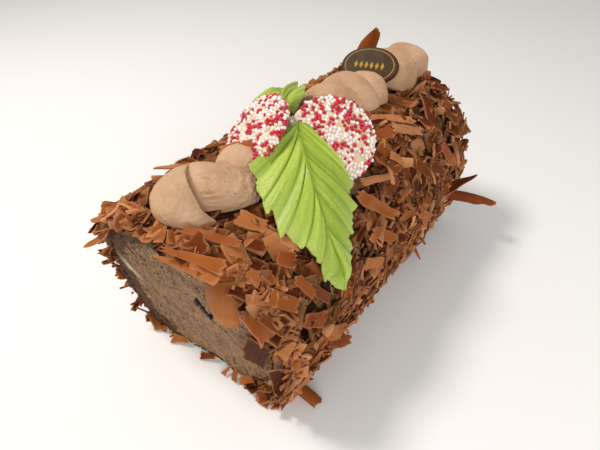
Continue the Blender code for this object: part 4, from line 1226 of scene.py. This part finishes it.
STANDING = [
    ((-88.2, -31.0, 86.8), (-92.6, -3.5, 82.6), (-.5, 0, .85), 3.6, .85, .69, 0.02),
    ((-87.0, -33.0, 91.0), (-91.2, -8.5, 88.0), (-.6, 0, .8), 3.0, .60, .55, 0.02),
    ((-82.0, -20.0, 92.4), (-90.6, -13.0, 84.6), (-.5, -.2, .8), 6.4, .30, .35, 0.05),
    ((-83.3, -38.6, 51.5), (-82.3, -31.0, 29.5), (-1, -.3, .1), 11.0, .05, .10, 0.0),
    ((-88.0, 32.5, 73.4), (-95.6, 46.0, 60.8), (-.5, .4, .6), 4.6, .60, .69, 0.03),
    ((-87.0, 27.0, 82.6), (-93.4, 35.6, 79.4), (-.4, .3, .8), 4.0, .60, .71, 0.0),
    ((-87.4, 30.0, 77.6), (-94.4, 39.6, 72.2), (-.4, .3, .8), 4.2, .50, .83, 0.02),
    ((-86.0, 23.5, 85.4), (-91.0, 28.5, 86.8), (-.2, .2, .9), 4.0, .50, .55, 0.0),
    ((-86.5, 34.0, 74.0), (-92.0, 42.0, 68.0), (-.5, .2, .8), 3.6, .40, .45, 0.04),
    ((-86.2, 44.6, 50.0), (-92.4, 48.4, 54.0), (-.6, .6, .2), 3.0, .40, .20, 0.10),
    ((-85.8, 45.8, 47.0), (-92.4, 50.4, 44.4), (-.6, .4, .4), 3.4, .50, .15, 0.10),
    ((-84.6, 46.4, 38.0), (-88.8, 51.2, 32.4), (-.6, .5, .3), 2.6, .60, .35, 0.08),
    ((-82.9, -46.4, 46.0), (-82.3, -45.0, 22.0), (-.75, -.65, 0), 7.4, .25, .08, 0.04),
    ((60.0, -50.0, 36.8), (73.0, -60.5, 42.0), (0, -.3, 1), 4.6, .80, .20, 0.0),
    ((30.0, -47.0, 15.0), (30.6, -53.0, 6.0), (.3, -.8, .6), 3.2, .70, .55, 0.0),
    ((34.0, -47.5, 19.0), (33.0, -53.4, 16.4), (.3, -.4, .9), 3.0, .60, .62, 0.0),
    ((-54.0, 17.0, 89.6), (-64.6, 28.4, 90.4), (0, .2, 1), 3.6, .75, .75, 0.0),
    ((-50.0, -46.0, 16.0), (-44.5, -54.0, 19.5), (0, -.5, .9), 5.6, .30, .64, 0.02),
    ((-50.0, 5.5, 98.6), (-43.5, 1.0, 100.2), (-.3, -.2, .9), 3.6, .30, .70, 0.0),
    ((-47.5, 2.0, 98.8), (-41.0, -3.0, 100.8), (-.4, -.3, .8), 3.0, .40, .55, 0.0),
    ((-43.0, -0.5, 100.4), (-38.5, -5.5, 101.0), (-.4, -.3, .8), 2.6, .30, .62, 0.0),
    ((-87.4, 36.0, 1.4), (-85.0, 29.5, 3.4), (-.5, .1, .85), 2.2, .40, .55, 0.02),
    ((-86.4, 24.0, 1.4), (-83.4, 14.5, 3.8), (-.5, .1, .85), 3.4, .50, .70, 0.02),
    ((-84.6, 5.4, 1.4), (-81.8, -2.5, 3.6), (-.6, 0, .8), 2.6, .50, .35, 0.02),
    ((-85.2, -10.5, 1.2), (-80.8, -12.5, 5.4), (-.3, -.2, .9), 1.6, .50, .62, 0.03),
    ((-84.6, -17.0, 1.4), (-80.4, -15.3, 6.6), (-.3, .2, .9), 2.4, .40, .55, 0.03),
    ((-82.4, -19.6, 2.6), (-79.4, -29.6, 6.0), (-.6, .1, .8), 3.2, .50, .71, 0.02),
    ((-81.6, -25.0, 1.6), (-79.0, -33.5, 4.0), (-.6, .1, .8), 3.8, .40, .69, 0.02),
    ((-82.8, -31.2, 1.4), (-79.0, -30.0, 7.4), (-.5, 0, .8), 2.0, .40, .50, 0.03),
    ((-47.6, 21.4, 90.6), (-46.0, 26.6, 90.2), (0, .3, 1), 11.0, .10, .03, 0.0)]
tops, bottoms, tones, wides = [], [], [], []
for k, (x1, s1, x2, s2, wide, tone, up1, up2) in enumerate(ON_CRUST):
    y, z, ny, nz = on_arch(np.array([s1, s2]))
    lift = np.array([up1, up2]) - 0.4
    pts = np.stack([(x1, x2), y + lift * ny, z + lift * nz], -1)
    got = aimed(600 + k, pts[0], pts[1], (0, ny.mean(), nz.mean()), wide * 0.9, 1.2, 0.012 * (-1) ** k,
                0.035, 0.1 * (-1) ** (k // 2), 0.09, na=11, nb=7)
    for store, value in zip((tops, bottoms, wides, tones), (*got, tone)):
        store.append(value)
for k, (start, end, face, wide, taper, tone, bend) in enumerate(STANDING):
    roll_up = -0.55 if k == len(STANDING) - 1 else 0.06
    got = aimed(700 + k, start, end, face, wide, 0.9, bend, roll_up, taper, 0.08, na=11, nb=7)
    for store, value in zip((tops, bottoms, wides, tones), (*got, tone)):
        store.append(value)
faces, rim = flake_faces(11, 7)
stack = np.concatenate([np.stack(v).reshape(len(v), -1, 3) for v in (tops, bottoms)], 1)
off_ground(stack)
across = np.tile(np.stack(wides).reshape(len(wides), -1), 2)
# every laid flake gets an up mark of 6, which gives it only a little of the painted shade
laid = many("flakes_laid", stack, faces,
            {"tone": np.repeat(tones, stack.shape[1]), "rim": np.tile(rim, len(tones)), "across": across,
             "up": 6 + 0 * across}, sharp=42)
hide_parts("flake_crust")
flake_pieces.append(laid)

# %% [markdown]
# ## The finishes
# Each finish starts from the real stuff.  Milk chocolate shavings: scraped cocoa butter, satin
# where the blade passed, with fine lines along the scrape, and dusty pale where they broke.
# The rim mark lightens the edges, partly for that pale break and partly as a painted highlight on
# the thin rims; the tone mark makes every flake its own brown, and some are greyed by fat bloom.
# The up mark, the height over the buttercream, paints shade on the lowest flakes, for the gaps.

# %% Milk chocolate shavings
def milk_chocolate():
    f = Finish("milk_chocolate_shaved")
    tone, rim, across, up = (f.mark(k) for k in ("tone", "rim", "across", "up"))
    mixed = f.calc("MULTIPLY_ADD", f.clouds(9, 3), 0.45, f.calc("MULTIPLY_ADD", tone, 1.25, -0.36))
    body = f.ramp(mixed, (0.0, "#3c1204"), (0.3, "#642a10"), (0.6, "#9a522a"), (1.0, "#d8986a"))
    own = f.calc("FRACT", f.calc("MULTIPLY", tone, 7.3))
    greyed = f.blend(f.ramp(own, (0.80, 0.0), (0.90, 0.5)), body, "#70402b")
    # a third of the flakes is a warmer, tawny brown
    warm = f.calc("MULTIPLY", f.ramp(own, (0.32, 0.70), (0.38, 0.0)), tone)
    tawny = f.blend(warm, greyed, "#aa6628")
    # scraped lines run along a flake, 0.35 mm apart
    line_at = f.add("CombineXYZ", {"X": across, "Y": f.calc("MULTIPLY", tone, 40.0)})
    lines = f.clouds(1000 / 2.8, 2, vector=line_at)
    scraped = f.blend(f.ramp(lines, (0.38, 0.0), (0.62, 0.20)), tawny, "#96562f")
    # the rims of the flakes are painted lighter: partly the pale broken edge, partly a painted highlight on
    # the thin rims
    pale_edge_and_highlight = f.calc("MULTIPLY", f.calc("POWER", rim, 4.0), 0.55)
    broken = f.blend(pale_edge_and_highlight, scraped, "#c98a5e")
    # painted shade: the lower a point lies over the buttercream (the up mark), the darker it is painted,
    # for the shade in the gaps between the flakes
    deep = f.ramp(f.calc("DIVIDE", up, 7.0), (0.26, 0.97), (0.92, 0.0))
    painted_gap_shade = f.blend(deep, broken, "#2a0d04")
    grain = f.clouds(0.8, 3, 0.6)
    return f.surface(painted_gap_shade, f.calc("MULTIPLY_ADD", grain, 0.30, 0.30),
                     (f.calc("MULTIPLY_ADD", lines, 0.8, grain), 0.12, 0.6), ior=1.47, specular=0.03,
                     glow=(0.05, (1.0, 0.35, 0.2), 1.0))


def wear(pieces, finish):
    """Gives pieces their material."""
    for piece in pieces:
        piece.data.materials.append(finish)


wear(flake_pieces, milk_chocolate())

# %% [markdown]
# Whipped mousse, cut: dull greyish brown, air bubbles opened by the knife, cocoa crumbs dragged
# out as dark specks and streaks along the knife's way, thickest near the sponge.  The torn hole is
# painted purple-black, as painted shade in its hollow; one smear of white cream crosses the left.

# %% Mousse, sponge and buttercream
SMEAR_TURN = (math.atan2(SMEAR[1], SMEAR[0]), 0, 0)


def mousse_finish():
    f = Finish("whipped_mousse_cut")
    drawn = f.add("Mapping", {"Vector": f.place, "Rotation": SMEAR_TURN, "Scale": (1, 2.6, 1)},
                  vector_type="TEXTURE")
    streak, fine = f.clouds(2.6, 5, 0.7, drawn), f.clouds(0.75, 3, 0.6, drawn)
    speck, cloud, dark_left_edge = f.clouds(0.9, 2), f.clouds(17, 2), f.mark("dark_left_edge")
    base = f.ramp(streak, (0.32, "#7c5c40"), (0.5, "#967455"), (0.68, "#aa8a68"))
    dirt = f.calc("MULTIPLY_ADD", cloud, 0.75, f.calc("MULTIPLY", dark_left_edge, 0.32))
    dirt = f.ramp(dirt, (0.40, 0.12), (0.60, 1.0))
    specked = f.calc("MULTIPLY", f.ramp(fine, (0.42, 1.0), (0.50, 0.0)), dirt)
    crumbed = f.blend(f.calc("MULTIPLY", specked, 0.85), base, "#3c2416")
    dotted = f.blend(f.ramp(speck, (0.35, 0.9), (0.40, 0.0)), crumbed, "#3a2a20")
    # a dark band along the rim on the left, by the sponge: partly crumbs, partly painted shade
    rim = f.ramp(f.calc("MULTIPLY_ADD", streak, 0.28, dark_left_edge), (0.98, 0.0), (1.10, 0.75))
    smeared = f.blend(f.mark("pale"), f.blend(rim, dotted, "#3f2616"), "#cfc3a6")
    # the torn hole is painted purple-black: painted shade in the hollow
    return f.surface(f.blend(f.mark("hole"), smeared, "#20121c"), 0.75,
                     (f.calc("MULTIPLY_ADD", fine, 0.8, speck), 0.5, 0.7), ior=1.45, specular=0.25)


def sponge_finish():
    f = Finish("chocolate_sponge_torn")
    cells = f.clouds(1.2, 4, 0.7)
    tint = f.ramp(cells, (0.34, "#2c180c"), (0.52, "#573820"), (0.70, "#8a6643"))
    return f.surface(tint, 0.9, (cells, 0.6, 0.8), specular=0.2)


def butter_finish():
    f = Finish("buttercream_spread")
    lumps = f.clouds(5, 4, 0.6)
    tint = f.ramp(lumps, (0.3, "#8a5d38"), (0.5, "#a97d52"), (0.72, "#c6a077"))
    dirty = f.blend(f.ramp(f.clouds(0.9, 3, 0.6), (0.34, 0.7), (0.46, 0.0)), tint, "#5c351e")
    # darker on the left side
    dark = f.blend(f.mark("dark_left_edge"), dirty, "#4e2c18")
    return f.surface(dark, 0.55, (lumps, 0.8, 0.5), ior=1.46, specular=0.35)


wear([mousse], mousse_finish())
wear([sponge], sponge_finish())
wear([coat], butter_finish())

# %% [markdown]
# Piped chocolate cream is matte and faintly streaked along the piping, with a few burst bubbles
# the size of a pinhead, painted darker as painted shade in their pits.

# %% Piped cream
def cream_finish():
    f = Finish("piped_cream_whipped")
    fine = f.clouds(0.8, 4, 0.65)
    share = f.calc("MULTIPLY_ADD", f.clouds(14, 2), 0.6, f.calc("MULTIPLY", fine, 0.4))
    tint = f.ramp(share, (0.35, "#b28b69"), (0.5, "#c29c7a"), (0.65, "#ceab8b"))
    pores = {"Vector": f.place, "Scale": 1000 / 3.6}
    lot = f.add("SeparateColor", {"Color": f.add("TexVoronoi", pores, out="Color")})
    hole = f.ramp(f.add("TexVoronoi", pores), (0.05, 1.0), (0.12, 0.0))
    pin = f.calc("MULTIPLY", hole, f.ramp(lot, (0.66, 0.0), (0.72, 1.0)))
    # the pinhole pores are painted darker: painted shade in the pits
    pitted = f.blend(f.calc("MULTIPLY", pin, 0.75), tint, "#6f4a30")
    return f.surface(pitted, 0.66, (f.calc("SUBTRACT", fine, pin), 0.28, 0.6), ior=1.45, specular=0.25,
                     glow=(0.10, (1.0, 0.6, 0.35), 1.6))


wear(cream, cream_finish())

# %% [markdown]
# Marzipan is ground almond and sugar, slightly see-through.  Its colour is painted lighter towards
# the thin edges, for light passing through, darker in the valleys and lighter on the ribs as
# painted shade and light, and dotted in patches with painted glints of sugar crystals.

# %% Green marzipan
def marzipan_finish():
    f = Finish("marzipan_moulded")
    rib, edge = f.mark("rib"), f.mark("edge")
    # darker green in the valleys, lighter on the ribs, by rib height: painted shade and light
    tint = f.ramp(rib, (0.0, "#849c2e"), (0.35, "#9db43e"), (0.9, "#b4c852"))
    # lighter towards the thin edge: painted light, for light passing through
    painted_edge_light = f.blend(f.calc("MULTIPLY", f.calc("POWER", edge, 5.0), 0.55), tint, "#c2d073")
    grain = f.clouds(1.1, 4, 0.6)
    mottled = f.blend(f.ramp(grain, (0.35, 0.35), (0.6, 0.0)), painted_edge_light, "#8ba03a")
    # pale sugar crystals in patches: painted glints
    crystals = f.add("TexVoronoi", {"Vector": f.place, "Scale": 1000 / 1.3})
    sugar_glints = f.calc("MULTIPLY", f.ramp(crystals, (0.13, 1.0), (0.24, 0.0)),
                 f.ramp(f.clouds(9, 3), (0.50, 0.0), (0.62, 1.0)))
    sugared = f.blend(f.calc("MULTIPLY", sugar_glints, 0.55), mottled, "#e6ebc4")
    return f.surface(sugared, 0.40, (f.calc("ADD", grain, sugar_glints), 0.18, 0.6), ior=1.46, specular=0.35,
                     glow=(0.15, (0.7, 1.0, 0.25), 1.6))


wear(leaves, marzipan_finish())

# %% [markdown]
# Sugar beads are glazed sugar, hard and shiny; the drop under them is white chocolate.  The
# plaque is dark chocolate cast in a smooth mould, its ornament printed in gold food colour.

# %% Beads, white chocolate and the plaque
def bead_finish(name, low, high):
    f = Finish(name)
    tint = f.ramp(f.mark("tone"), (0.0, low), (1.0, high))
    return f.surface(tint, 0.30, (f.clouds(0.6, 2), 0.05, 0.4), specular=0.45)


def white_chocolate():
    f = Finish("white_chocolate_poured")
    flow = f.clouds(4, 3)
    return f.surface(f.ramp(flow, (0.35, "#d9bf93"), (0.65, "#e8d7b0")), 0.45, (flow, 0.3, 0.5), ior=1.46)


def plaque_finish():
    f = Finish("dark_chocolate_cast")
    u, v, face = (f.mark(k) for k in ("across", "upward", "face"))
    uu, vv = (f.calc("POWER", f.calc("DIVIDE", k, half), 2.0) for k, half in zip((u, v), PLAQUE))
    off = f.calc("ABSOLUTE", f.calc("SUBTRACT", f.calc("SQRT", f.calc("ADD", uu, vv)), 0.86))
    line = f.ramp(off, (0.010, 1.0), (0.018, 0.0))
    # lozenges 2.8 mm apart along the middle of the face
    cell = f.calc("ABSOLUTE", f.calc("SUBTRACT", f.calc("FRACT", f.calc("DIVIDE", u, 2.8)), 0.5))
    tall = f.calc("MULTIPLY", f.calc("ABSOLUTE", v), 0.17)
    shown = f.ramp(f.calc("MULTIPLY_ADD", cell, 0.87, tall), (0.30, 1.0), (0.33, 0.0))
    band = f.calc("MULTIPLY", shown, f.calc("LESS_THAN", f.calc("ABSOLUTE", u), 8.4))
    gold = f.calc("MULTIPLY", f.calc("MAXIMUM", line, band), face)
    flow = f.clouds(6, 4, 0.6)
    printed = f.blend(gold, f.ramp(flow, (0.35, "#35230f"), (0.65, "#47301a")), "#a8851c")
    return f.surface(printed, 0.48, (flow, 0.2, 0.3), ior=1.47, specular=0.16)


wear(bases, white_chocolate())
wear(beads[:1], bead_finish("sugar_bead_red", "#b00d2c", "#da2a48"))
wear(beads[1:], bead_finish("sugar_bead_white", "#ecd9d0", "#faf2ee"))
wear([plaque], plaque_finish())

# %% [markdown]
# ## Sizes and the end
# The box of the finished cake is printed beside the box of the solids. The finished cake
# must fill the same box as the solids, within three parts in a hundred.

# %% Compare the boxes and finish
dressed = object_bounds()
plain = [[[float(v) for v in corner] for corner in box] for box in (cad_box, dressed)]
for axis in range(3):
    ends = [corner[axis] * 1000 for box in plain for corner in box]
    print("xyz"[axis], "solids %.1f to %.1f mm, dressed %.1f to %.1f mm" % tuple(ends))
